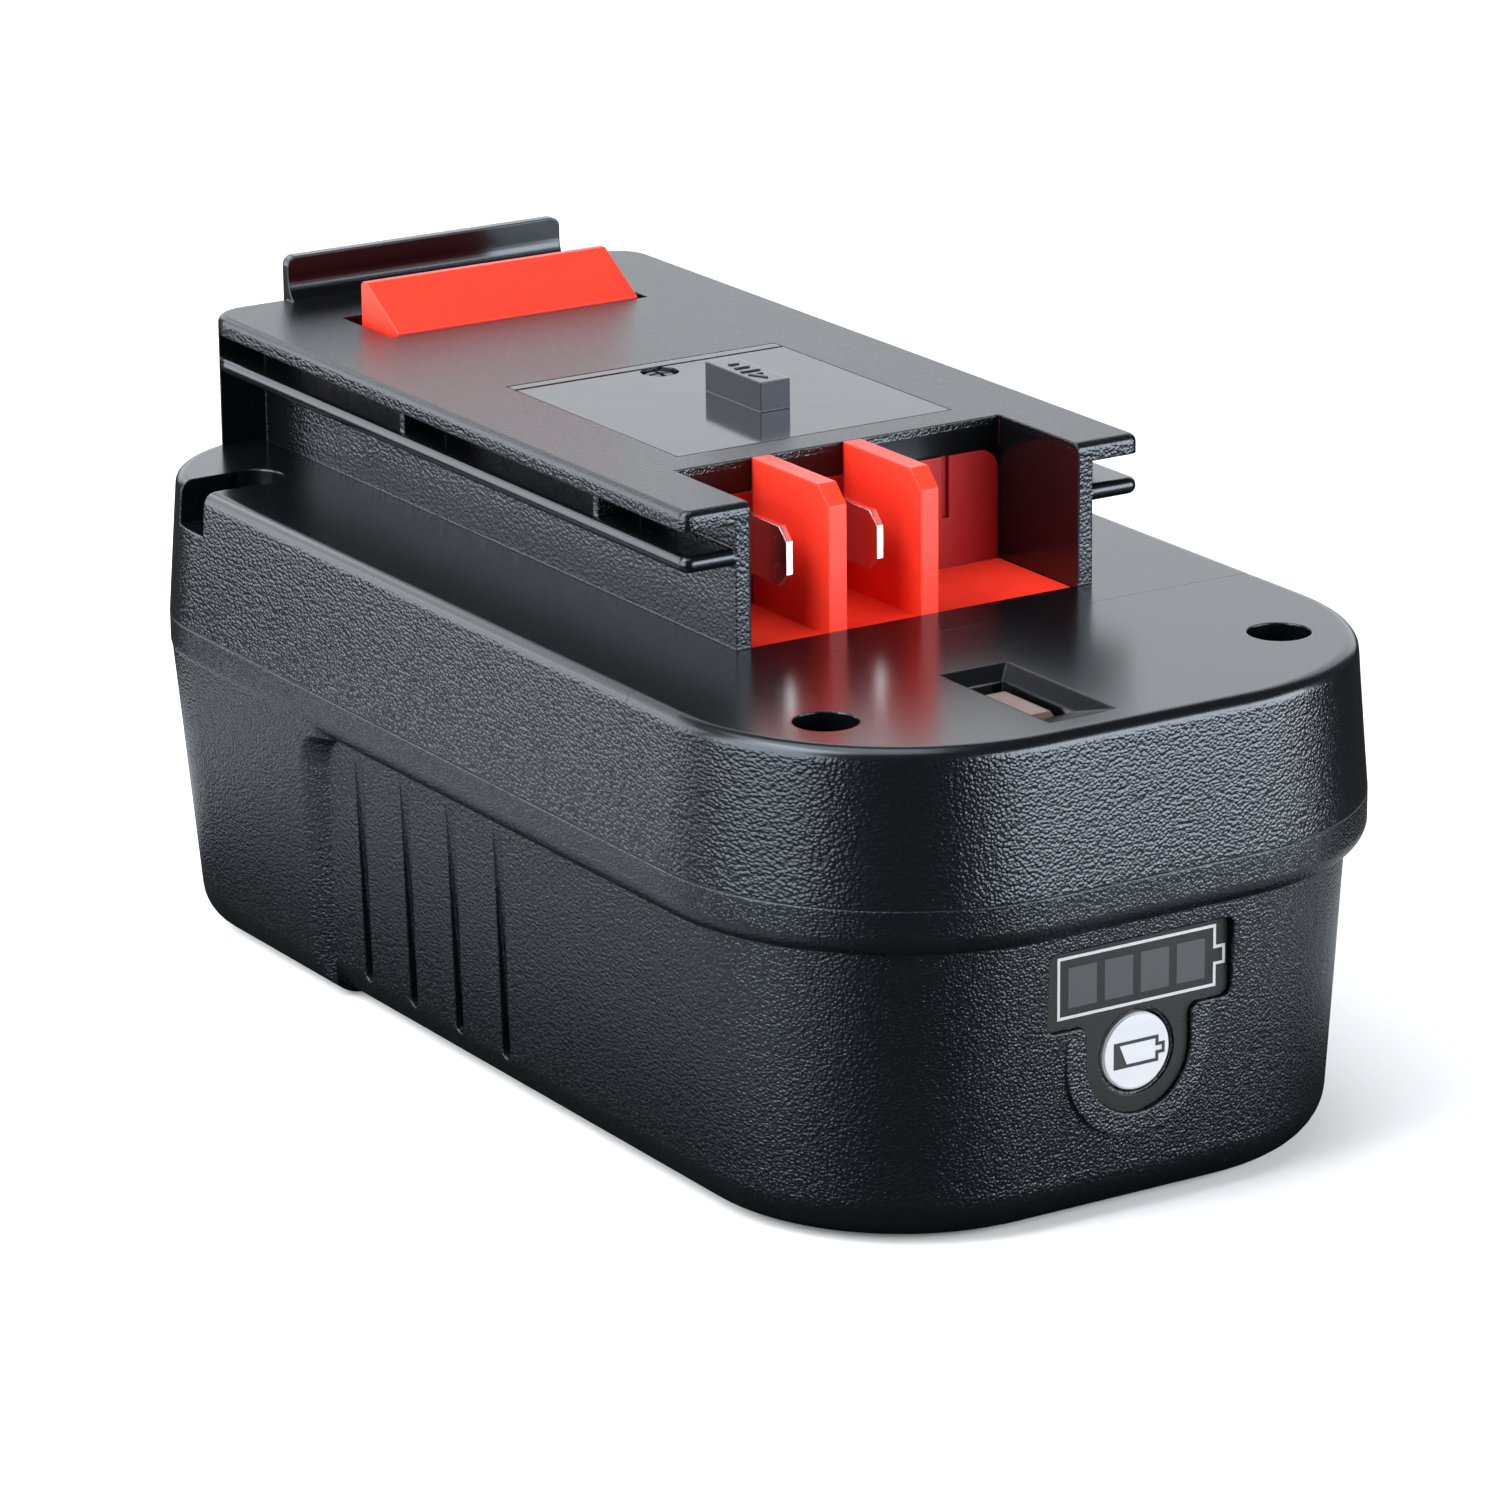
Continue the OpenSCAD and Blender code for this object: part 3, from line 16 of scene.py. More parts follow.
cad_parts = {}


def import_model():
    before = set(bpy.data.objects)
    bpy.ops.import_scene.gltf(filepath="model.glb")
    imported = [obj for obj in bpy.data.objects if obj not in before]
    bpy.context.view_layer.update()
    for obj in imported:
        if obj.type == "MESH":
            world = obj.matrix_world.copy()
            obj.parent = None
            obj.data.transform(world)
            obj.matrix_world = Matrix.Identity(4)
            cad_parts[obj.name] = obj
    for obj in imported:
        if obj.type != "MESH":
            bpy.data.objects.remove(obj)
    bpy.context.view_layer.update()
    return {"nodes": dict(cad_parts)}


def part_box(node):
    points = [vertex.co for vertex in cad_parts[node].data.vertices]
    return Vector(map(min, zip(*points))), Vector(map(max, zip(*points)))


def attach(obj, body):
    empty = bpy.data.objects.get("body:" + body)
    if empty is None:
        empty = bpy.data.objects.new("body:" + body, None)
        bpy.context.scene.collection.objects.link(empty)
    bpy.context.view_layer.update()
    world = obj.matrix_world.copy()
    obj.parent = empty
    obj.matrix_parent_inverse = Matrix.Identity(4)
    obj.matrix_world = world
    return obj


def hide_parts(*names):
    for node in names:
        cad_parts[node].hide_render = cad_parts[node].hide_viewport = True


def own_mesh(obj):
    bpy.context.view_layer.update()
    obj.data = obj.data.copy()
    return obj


LOG = logging.getLogger("battery_pack")
MM = 0.001

Colour = tuple[float, float, float, float]
Point = tuple[float, float]
Triple = tuple[float, float, float]
Quad = tuple[float, float, float, float]

# colour of what polished and grained black plastic reflects
COOL: Colour = (0.80, 0.89, 1.0, 1.0)
# the moulded grain is drawn out along the pack's length
GRAIN_DRAW: Triple = (0.62, 1.0, 1.0)


def grey(value: float) -> Colour:
    """Give an opaque grey of one brightness."""
    return (value, value, value, 1.0)


class Body(Enum):
    """Rigid bodies of the pack that pieces ride on."""

    PACK = "pack"
    LATCH = "latch"
    BUTTON = "gauge_button"


class Shade:
    """One socket of a node tree; Python operators on it add Math nodes."""

    def __init__(self, kit: "NodeKit", socket: bpy.types.NodeSocket) -> None:
        self.kit = kit
        self.socket = socket

    def maths(self, operation: str, first: "Value", second: "Value" = 0.0) -> "Shade":
        """Add one Math node.

        Args:
            operation: the Math node's operation
            first: value or link of its first socket
            second: value or link of its second socket

        Returns:
            the node's result
        """
        return self.kit.add("ShaderNodeMath", {"operation": operation}, {0: first, 1: second})

    def __add__(self, other: "Value") -> "Shade":
        """Add a value."""
        return self.maths("ADD", self, other)

    def __radd__(self, other: "Value") -> "Shade":
        """Add to a value."""
        return self.maths("ADD", other, self)

    def __sub__(self, other: "Value") -> "Shade":
        """Take a value away."""
        return self.maths("SUBTRACT", self, other)

    def __rsub__(self, other: "Value") -> "Shade":
        """Take away from a value."""
        return self.maths("SUBTRACT", other, self)

    def __mul__(self, other: "Value") -> "Shade":
        """Multiply by a value."""
        return self.maths("MULTIPLY", self, other)

    def __rmul__(self, other: "Value") -> "Shade":
        """Multiply a value."""
        return self.maths("MULTIPLY", other, self)

    def __abs__(self) -> "Shade":
        """Drop the sign."""
        return self.maths("ABSOLUTE", self)

    def largest(self, other: "Value") -> "Shade":
        """Keep the larger of two values."""
        return self.maths("MAXIMUM", self, other)

    def rise(self, low: float, high: float) -> "Shade":
        """Rise smoothly from 0 at low to 1 at high."""
        settings = {"interpolation_type": "SMOOTHSTEP"}
        return self.kit.add("ShaderNodeMapRange", settings, {0: self, 1: low, 2: high, 3: 0.0, 4: 1.0})

    def fall(self, low: float, high: float) -> "Shade":
        """Fall smoothly from 1 at low to 0 at high."""
        return 1.0 - self.rise(low, high)

    def near(self, middle: float, half: float, soft: float) -> "Shade":
        """Give 1 within half of a middle value, fading to 0 over a soft edge."""
        return abs(self - middle).fall(half, half + soft)


Value = Union[Shade, float, int, str, Sequence[float], Any]


class NodeKit:
    """Adds nodes to one tree, and links them."""

    def __init__(self, tree: bpy.types.NodeTree) -> None:
        """Keep the tree that nodes are added to."""
        self.tree = tree

    def add(self, kind: str, settings: dict[str, Any] | None = None,
            sockets: dict[int | str, Value] | None = None, out: int | str = 0) -> Shade:
        """Add a node.

        Args:
            kind: the node's type
            settings: its properties, set before its sockets
            sockets: values or links of its inputs, by index or name
            out: index or name of the output that is wanted

        Returns:
            that output
        """
        node = self.tree.nodes.new(kind)
        for name, value in (settings or {}).items():
            setattr(node, name, value)
        for key, value in (sockets or {}).items():
            if isinstance(value, Shade):
                self.tree.links.new(value.socket, node.inputs[key])
            else:
                node.inputs[key].default_value = value
        return Shade(self, node.outputs[out])


class ShaderKit(NodeKit):
    """Adds what the pack's finishes share: places in millimetres, grain, masks and rounded edges."""

    def __init__(self, tree: bpy.types.NodeTree) -> None:
        """Start with the object's own coordinates, in millimetres.

        Args:
            tree: tree that nodes are added to
        """
        super().__init__(tree)
        raw = self.add("ShaderNodeTexCoord", out="Object")
        self.place = self.vector("SCALE", raw, scale=1.0 / MM)
        self.x, self.y, self.z = self.parts(self.place)

    def vector(self, operation: str, first: Value, second: Value = (0.0, 0.0, 0.0), scale: float = 1.0,
               out: int = 0) -> Shade:
        """Add one Vector Math node.

        Args:
            operation: the node's operation
            first: first vector
            second: second vector
            scale: factor of a SCALE operation
            out: 0 for its vector, 1 for its value

        Returns:
            the node's result
        """
        sockets = {0: first, 1: second, 3: scale}
        return self.add("ShaderNodeVectorMath", {"operation": operation}, sockets, out)

    def parts(self, vector: Shade) -> tuple[Shade, Shade, Shade]:
        """Split a vector into its three numbers.

        Args:
            vector: the vector

        Returns:
            its X, Y and Z
        """
        first = self.add("ShaderNodeSeparateXYZ", None, {0: vector})
        outputs = first.socket.node.outputs
        return first, Shade(self, outputs[1]), Shade(self, outputs[2])

    def facing(self) -> tuple[Shade, Shade, Shade]:
        """Give the surface's own direction, as three numbers."""
        return self.parts(self.add("ShaderNodeTexCoord", out="Normal"))

    def noise(self, per_mm: float, detail: float = 2.0, rough: float = 0.5,
              stretch: Triple = (1.0, 1.0, 1.0)) -> Shade:
        """Add soft noise.

        Args:
            per_mm: lumps for each millimetre
            detail: how many finer layers are added
            rough: how strong the finer layers are
            stretch: squeeze of the pattern along each axis

        Returns:
            noise around 0.5
        """
        place = self.place if stretch == (1.0, 1.0, 1.0) else self.vector("MULTIPLY", self.place, stretch)
        sockets = {"Vector": place, "Scale": per_mm, "Detail": detail, "Roughness": rough}
        return self.add("ShaderNodeTexNoise", None, sockets)

    def pebbles(self, per_mm: float) -> Shade:
        """Add a leathery grain of uneven pebbles.

        Args:
            per_mm: pebbles for each millimetre

        Returns:
            height of the grain, highest at the middle of each pebble
        """
        drawn = self.vector("MULTIPLY", self.place, GRAIN_DRAW)
        cells = self.add("ShaderNodeTexVoronoi", None, {"Vector": drawn, "Scale": per_mm})
        return 0.5 * self.noise(1.7 * per_mm, 1.5, stretch=GRAIN_DRAW) - cells

    def mix(self, share: Value, first: Value, second: Value) -> Shade:
        """Mix two colours by a share."""
        settings = {"data_type": "RGBA"}
        return self.add("ShaderNodeMix", settings, {0: share, 6: first, 7: second}, 2)

    def rounded(self, radius: float) -> Shade:
        """Give the direction of the surface as if its edges were rounded."""
        return self.add("ShaderNodeBevel", {"samples": 6}, {"Radius": radius * MM})

    def edges(self, rounded: Shade, width: float = 0.25) -> Shade:
        """Find sharp edges by how far the rounded direction leans off the true one.

        Args:
            rounded: direction of the surface with its edges rounded
            width: lean at which an edge counts in full

        Returns:
            1 along sharp edges
        """
        true = self.add("ShaderNodeNewGeometry", out="Normal")
        along = self.vector("DOT_PRODUCT", rounded, true, out=1)
        return (1.0 - along).rise(0.0, width)

    def bump(self, height: Shade, depth: float, under: Value | None = None) -> Shade:
        """Press a height pattern into the surface.

        Args:
            height: the pattern, 0 to 1
            depth: its depth in millimetres
            under: direction of the surface that it is pressed into

        Returns:
            the new direction of the surface
        """
        sockets: dict[int | str, Value] = {"Height": height, "Distance": depth * MM, "Strength": 1.0}
        if under is not None:
            sockets["Normal"] = under
        return self.add("ShaderNodeBump", None, sockets)


@dataclass(frozen=True)
class Finish:
    """A procedural finish.

    Attributes:
        name: its name
    """

    name: str

    def sockets(self, kit: ShaderKit) -> dict[str, Value]:
        """Work out the shader's sockets; each kind of finish has its own."""
        raise NotImplementedError

    def material(self) -> bpy.types.Material:
        """Build the finish's material, once.

        Returns:
            the material
        """
        label = f"{self.name}_finish"
        made = bpy.data.materials.get(label)
        if made is not None:
            return made
        made = bpy.data.materials.new(label)
        made.use_nodes = True
        made.node_tree.nodes.clear()
        kit = ShaderKit(made.node_tree)
        shader = kit.add("ShaderNodeBsdfPrincipled", None, self.sockets(kit))
        target = made.node_tree.nodes.new("ShaderNodeOutputMaterial")
        made.node_tree.links.new(shader.socket, target.inputs["Surface"])
        return made


@dataclass(frozen=True)
class BlackPlastic(Finish):
    """Grained black moulding, a little clouded and worn paler along its edges.

    Attributes:
        deep: its colour
        pale: colour of the clouds
        worn: colour of worn edges
        grain: pebbles for each millimetre of a wall
        depth: depth of the grain
        edge_r: rounding of its edges
    """

    deep: Colour = (0.0018, 0.0021, 0.0026, 1.0)
    pale: Colour = (0.0025, 0.0029, 0.0036, 1.0)
    worn: Colour = (0.0095, 0.0106, 0.0130, 1.0)
    grain: float = 3.2
    depth: float = 0.086
    edge_r: float = 0.4

    def moulded(self, kit: ShaderKit, height: Shade, rough: Value, fine: Shade) -> dict[str, Value]:
        """Put grain, clouds and worn edges together.

        Args:
            kit: the material's node kit
            height: height of the surface's pattern
            rough: how matt it is
            fine: fine noise that makes it more and less matt

        Returns:
            values of the shader's sockets
        """
        rounded = kit.rounded(self.edge_r)
        edge = kit.edges(rounded)
        plain = kit.mix(kit.noise(0.05, 3.0), self.deep, self.pale)
        return {
            "Base Color": kit.mix(edge * 0.5, plain, self.worn),
            "Roughness": rough + 0.08 * (fine - 0.5) - 0.03 * edge,
            "Specular IOR Level": 0.5,
            "Specular Tint": COOL,
            "Normal": kit.bump(height, self.depth, rounded),
        }


@dataclass(frozen=True)
class CoverPlastic(BlackPlastic):
    """Black moulding of the cover: coarse grain on its walls, satin deck, finely grained plate, smooth rails.

    Attributes:
        deck_z: height of the deck
        plate_z: height of the top plate
        rail: lowest and highest Z of the lower rails
        core_y: half the width of the tower's core
        bay: rear X and half width of the terminal bay
        window: lowest and highest X and Y of the window in the deck
        wells: X, and Y at the front and at the rear, of the screw wells
        well_r: reach of the wells' smooth walls
        seam_x: place of the fine mould line across deck and skirt
    """

    pale: Colour = (0.0026, 0.0030, 0.0037, 1.0)
    worn: Colour = (0.0100, 0.0112, 0.0135, 1.0)
    grain: float = 2.7
    depth: float = 0.056
    edge_r: float = 0.35
    deck_z: float = 53.5
    plate_z: float = 69.0
    rail: Point = (62.3, 64.3)
    core_y: float = 22.25
    bay: Point = (16.2, 20.6)
    window: Quad = (49.9, 69.6, -9.8, -1.4)
    wells: Triple = (56.8, 27.9, 31.3)
    well_r: float = 4.0
    seam_x: float = 37.2

    def smooth(self, kit: ShaderKit) -> Shade:
        """Tell the smooth places from the grained ones.

        Args:
            kit: the material's node kit

        Returns:
            1 on rails and flange, and inside wells, window and bay
        """
        wide = abs(kit.y)
        rail = kit.z.rise(self.rail[0] - 0.1, self.rail[0]) * kit.z.fall(self.rail[1], self.rail[1] + 0.1)
        flange = kit.z.rise(self.plate_z + 0.1, self.plate_z + 0.3)
        x, front_y, rear_y = self.wells
        off_x = abs(kit.x) - x
        off_y = wide - front_y - (rear_y - front_y) * kit.x.fall(-1.0, 1.0)
        well = (off_x * off_x + off_y * off_y).fall(self.well_r ** 2 - 1.0, self.well_r ** 2)
        low_x, high_x, low_y, high_y = self.window
        hole = (kit.x.rise(low_x - 0.1, low_x) * kit.x.fall(high_x, high_x + 0.1)
                * kit.y.rise(low_y - 0.1, low_y) * kit.y.fall(high_y, high_y + 0.1))
        sunk = kit.z.fall(self.deck_z - 0.2, self.deck_z - 0.05)
        inner = kit.x.rise(self.bay[0] - 2.2, self.bay[0] - 2.0) * wide.fall(self.bay[1], self.bay[1] + 0.1)
        raised = (kit.z.rise(self.deck_z + 0.2, self.deck_z + 0.4)
                  * kit.z.fall(self.plate_z - 0.9, self.plate_z - 0.7))
        return ((rail * wide.rise(self.core_y + 0.1, self.core_y + 0.3)).largest(flange)
                .largest(well.largest(hole) * sunk).largest(inner * raised))

    def sockets(self, kit: ShaderKit) -> dict[str, Value]:
        """Work out the shader's sockets.

        Args:
            kit: the material's node kit

        Returns:
            values of the shader's sockets
        """
        _, _, up = kit.facing()
        level = up.rise(0.55, 0.85)
        smooth = self.smooth(kit)
        wall = up.fall(0.14, 0.45) * (1.0 - smooth)
        deck = kit.z.near(self.deck_z, 0.12, 0.2) * level
        plate = kit.z.near(self.plate_z, 0.5, 0.3) * level
        coarse = kit.pebbles(self.grain)
        fine = kit.noise(4.6, 1.5)
        peel = kit.noise(3.2, 1.0)
        seam = kit.x.near(self.seam_x, 0.05, 0.1) * kit.z.fall(self.deck_z + 0.2, self.deck_z + 0.4)
        height = coarse * wall + 1.1 * (fine * plate) + 0.12 * (peel * deck) + 0.02 * fine - 0.4 * seam
        rough = 0.22 - 0.01 * wall + 0.07 * plate - 0.05 * smooth
        return self.moulded(kit, height, rough, fine)


@dataclass(frozen=True)
class CasePlastic(BlackPlastic):
    """Black moulding of the lower case, with a finer grain and faint mould lines round its front panel.

    Attributes:
        lip_z: height at which the rolled lip starts
        front_x: X from which the front panel is marked
        panel_y: half the width of the front panel
        panel_z: height of the front panel's sill
    """

    lip_z: float = 32.0
    front_x: float = 60.0
    panel_y: float = 15.0
    panel_z: float = 5.6

    def sockets(self, kit: ShaderKit) -> dict[str, Value]:
        """Work out the shader's sockets.

        Args:
            kit: the material's node kit

        Returns:
            values of the shader's sockets
        """
        coarse = kit.pebbles(self.grain)
        fine = kit.noise(5.0, 1.5)
        lip = kit.z.rise(self.lip_z, self.lip_z + 1.5)
        front = kit.x.rise(self.front_x, self.front_x + 0.5)
        sides = abs(kit.y).near(self.panel_y, 0.06, 0.1) * kit.z.rise(self.panel_z - 0.1, self.panel_z)
        sill = kit.z.near(self.panel_z, 0.05, 0.1) * abs(kit.y).fall(self.panel_y, self.panel_y + 0.1)
        lines = sides.largest(sill) * front
        height = coarse * (1.0 - 0.3 * lip) + 0.02 * fine - 0.12 * lines
        return self.moulded(kit, height, 0.24, fine)


@dataclass(frozen=True)
class Moulding(Finish):
    """Plain moulded plastic with flow marks, fine grain and slightly paler edges.

    Attributes:
        colour: main colour
        second: colour of the flow marks
        rough: how matt it is
        grain: lumps of grain for each millimetre
        depth: depth of the grain
        edge_r: rounding of its edges
        gloss: strength of its reflections
    """

    colour: Colour = (0.1, 0.1, 0.1, 1.0)
    second: Colour = (0.12, 0.12, 0.12, 1.0)
    rough: float = 0.4
    grain: float = 3.0
    depth: float = 0.02
    edge_r: float = 0.2
    gloss: float = 0.5

    def sockets(self, kit: ShaderKit) -> dict[str, Value]:
        """Work out the shader's sockets.

        Args:
            kit: the material's node kit

        Returns:
            values of the shader's sockets
        """
        fine = kit.noise(self.grain, 1.5)
        flow = kit.noise(0.09, 3.0, 0.6, (1.0, 0.5, 2.0)).rise(0.35, 0.7)
        rounded = kit.rounded(self.edge_r)
        edge = kit.edges(rounded)
        plain = kit.mix(flow, self.colour, self.second)
        pale = tuple(min(1.0, 1.25 * part + 0.01) for part in self.second[:3]) + (1.0,)
        return {
            "Base Color": kit.mix(edge * 0.45, plain, pale),
            "Roughness": self.rough + 0.12 * (fine - 0.5) + 0.05 * (flow - 0.5),
            "Specular IOR Level": self.gloss,
            "Normal": kit.bump(fine, self.depth, rounded),
        }


@dataclass(frozen=True)
class BlockPlastic(Moulding):
    """Terminal block plastic; a highlight is painted on its floor's front edge and shade on its back wall.

    Attributes:
        brow: X and Z of that edge
        pale: colour of the highlight painted along that edge
        back_x: X of the back wall's face
        deep: colour of the shade painted on the back wall
    """

    brow: Point = (30.6, 53.1)
    pale: Colour = (0.85, 0.46, 0.45, 1.0)
    back_x: float = 16.2
    deep: Colour = (0.34, 0.010, 0.011, 1.0)

    def sockets(self, kit: ShaderKit) -> dict[str, Value]:
        """Work out the shader's sockets.

        Args:
            kit: the material's node kit

        Returns:
            values of the shader's sockets
        """
        made = super().sockets(kit)
        # painted highlight: a pale strip along the front edge of the floor
        painted_highlight = kit.x.near(self.brow[0], 0.35, 0.25) * kit.z.near(self.brow[1], 0.05, 0.1)
        # painted shade: a darker red on the back wall, where the walls around it cast shade
        wall = (kit.x.fall(self.back_x + 0.1, self.back_x + 0.4)
                * kit.x.rise(self.back_x - 5.0, self.back_x - 4.0))
        made["Base Color"] = kit.mix(wall, kit.mix(painted_highlight, made["Base Color"], self.pale), self.deep)
        return made


@dataclass(frozen=True)
class GlossPlastic(Finish):
    """Polished black plastic with hairline scratches.

    Attributes:
        colour: its colour
    """

    colour: Colour = (0.0040, 0.0045, 0.0054, 1.0)

    def sockets(self, kit: ShaderKit) -> dict[str, Value]:
        """Work out the shader's sockets.

        Args:
            kit: the material's node kit

        Returns:
            values of the shader's sockets
        """
        hair = kit.noise(2.2, 2.0, 0.6, (0.06, 1.6, 1.0)).rise(0.60, 0.72)
        haze = kit.noise(0.12, 3.0)
        wave = kit.noise(0.11, 1.0)
        rounded = kit.rounded(0.2)
        return {
            "Base Color": kit.mix(haze, self.colour, (0.0060, 0.0066, 0.0080, 1.0)),
            "Roughness": 0.07 + 0.07 * hair + 0.05 * haze,
            "Specular IOR Level": 0.5,
            "Specular Tint": COOL,
            "Normal": kit.bump(wave, 0.05, rounded),
        }


@dataclass(frozen=True)
class Metal(Finish):
    """Drawn or plated metal with fine lines along one axis.

    Attributes:
        colour: its colour
        second: colour of duller patches
        rough: how matt it is
        squeeze: squeeze of the lines along each axis; they run along the smallest
        depth: depth of the lines
        edge_r: rounding of its edges
    """

    colour: Colour = (0.72, 0.72, 0.73, 1.0)
    second: Colour = (0.55, 0.55, 0.56, 1.0)
    rough: float = 0.25
    squeeze: Triple = (0.08, 1.0, 1.0)
    depth: float = 0.006
    edge_r: float = 0.12

    def sockets(self, kit: ShaderKit) -> dict[str, Value]:
        """Work out the shader's sockets.

        Args:
            kit: the material's node kit

        Returns:
            values of the shader's sockets
        """
        lines = kit.noise(6.0, 3.0, 0.6, self.squeeze)
        patch = kit.noise(0.4, 3.0).rise(0.35, 0.75)
        rounded = kit.rounded(self.edge_r)
        return {
            "Base Color": kit.mix(patch * 0.5 + 0.3 * (lines - 0.5), self.colour, self.second),
            "Metallic": 1.0,
            "Roughness": self.rough + 0.16 * (lines - 0.5) + 0.07 * patch,
            "Normal": kit.bump(lines, self.depth, rounded),
        }


@dataclass(frozen=True)
class Laminate(Finish):
    """Circuit board: green lacquer over copper runs, with bare glass cloth at the cut edges.

    Attributes:
        up: axis that is square to the board, 0 for X and 2 for Z
    """

    up: int = 2

    def sockets(self, kit: ShaderKit) -> dict[str, Value]:
        """Work out the shader's sockets.

        Args:
            kit: the material's node kit

        Returns:
            values of the shader's sockets
        """
        along, across = (kit.x, kit.y) if self.up == 2 else (kit.y, kit.z)
        face = abs(kit.facing()[self.up]).rise(0.5, 0.7)
        runs = along.maths("PINGPONG", along, 1.1).near(0.55, 0.2, 0.08)
        turns = across.maths("PINGPONG", across, 1.3).near(0.65, 0.2, 0.08)
        choice = kit.noise(0.13, 0.0).rise(0.47, 0.50)
        copper = (runs * choice).largest(turns * (1.0 - choice))
        weave = kit.noise(3.0, 1.0)
        lacquer = kit.mix(copper, (0.010, 0.095, 0.040, 1.0), (0.030, 0.200, 0.085, 1.0))
        edge = kit.mix(weave, (0.26, 0.27, 0.13, 1.0), (0.36, 0.36, 0.20, 1.0))
        return {
            "Base Color": kit.mix(face, edge, lacquer),
            "Roughness": 0.55 - 0.25 * face + 0.06 * (weave - 0.5),
            "Normal": kit.bump(copper * face + 0.1 * weave, 0.035),
        }


@dataclass(frozen=True)
class CellSleeve(Finish):
    """Round cell: shrunk plastic sleeve, with bare plated ends.

    Attributes:
        end_y: distance of the sleeve's ends from the middle
        band_y: distance from which the sleeve is paler
    """

    end_y: float = 30.6
    band_y: float = 27.6

    def sockets(self, kit: ShaderKit) -> dict[str, Value]:
        """Work out the shader's sockets.

        Args:
            kit: the material's node kit

        Returns:
            values of the shader's sockets
        """
        bare = abs(kit.facing()[1]).rise(0.6, 0.8) * abs(kit.y).rise(self.end_y - 0.3, self.end_y)
        band = abs(kit.y).rise(self.band_y, self.band_y + 0.1)
        creases = kit.noise(0.5, 2.0, 0.5, (1.0, 0.25, 1.0))
        sleeve = kit.mix(band, (0.030, 0.150, 0.330, 1.0), (0.050, 0.210, 0.420, 1.0))
        plated = kit.mix(creases, (0.60, 0.60, 0.58, 1.0), (0.72, 0.72, 0.70, 1.0))
        return {
            "Base Color": kit.mix(bare, sleeve, plated),
            "Metallic": bare,
            "Roughness": 0.30 + 0.1 * (creases - 0.5),
            "Normal": kit.bump(creases, 0.03),
        }


@dataclass(frozen=True)
class Fibre(Finish):
    """Insulating paper with visible fibres."""

    def sockets(self, kit: ShaderKit) -> dict[str, Value]:
        """Work out the shader's sockets.

        Args:
            kit: the material's node kit

        Returns:
            values of the shader's sockets
        """
        strands = kit.noise(2.5, 4.0, 0.65, (1.0, 1.0, 0.25))
        specks = kit.noise(5.0, 2.0).rise(0.62, 0.72)
        paper = kit.mix(strands, (0.50, 0.44, 0.30, 1.0), (0.70, 0.64, 0.48, 1.0))
        return {
            "Base Color": kit.mix(specks * 0.4, paper, (0.34, 0.27, 0.16, 1.0)),
            "Roughness": 0.8 + 0.1 * (strands - 0.5),
            "Normal": kit.bump(strands, 0.05),
        }


@dataclass(frozen=True)
class Ink(Finish):
    """Screen print, a little uneven where the film's grain shows through.

    Attributes:
        colour: colour of a full coat
        thin: colour of a thin coat
        rough: how matt it is
    """

    colour: Colour = (0.27, 0.276, 0.286, 1.0)
    thin: Colour = (0.20, 0.205, 0.213, 1.0)
    rough: float = 0.5

    def sockets(self, kit: ShaderKit) -> dict[str, Value]:
        """Work out the shader's sockets.

        Args:
            kit: the material's node kit

        Returns:
            values of the shader's sockets
        """
        coat = kit.noise(4.0, 2.0).rise(0.5, 0.75)
        return {
            "Base Color": kit.mix(coat * 0.6, self.colour, self.thin),
            "Roughness": self.rough + 0.1 * coat,
            "Normal": kit.bump(coat, 0.008),
        }


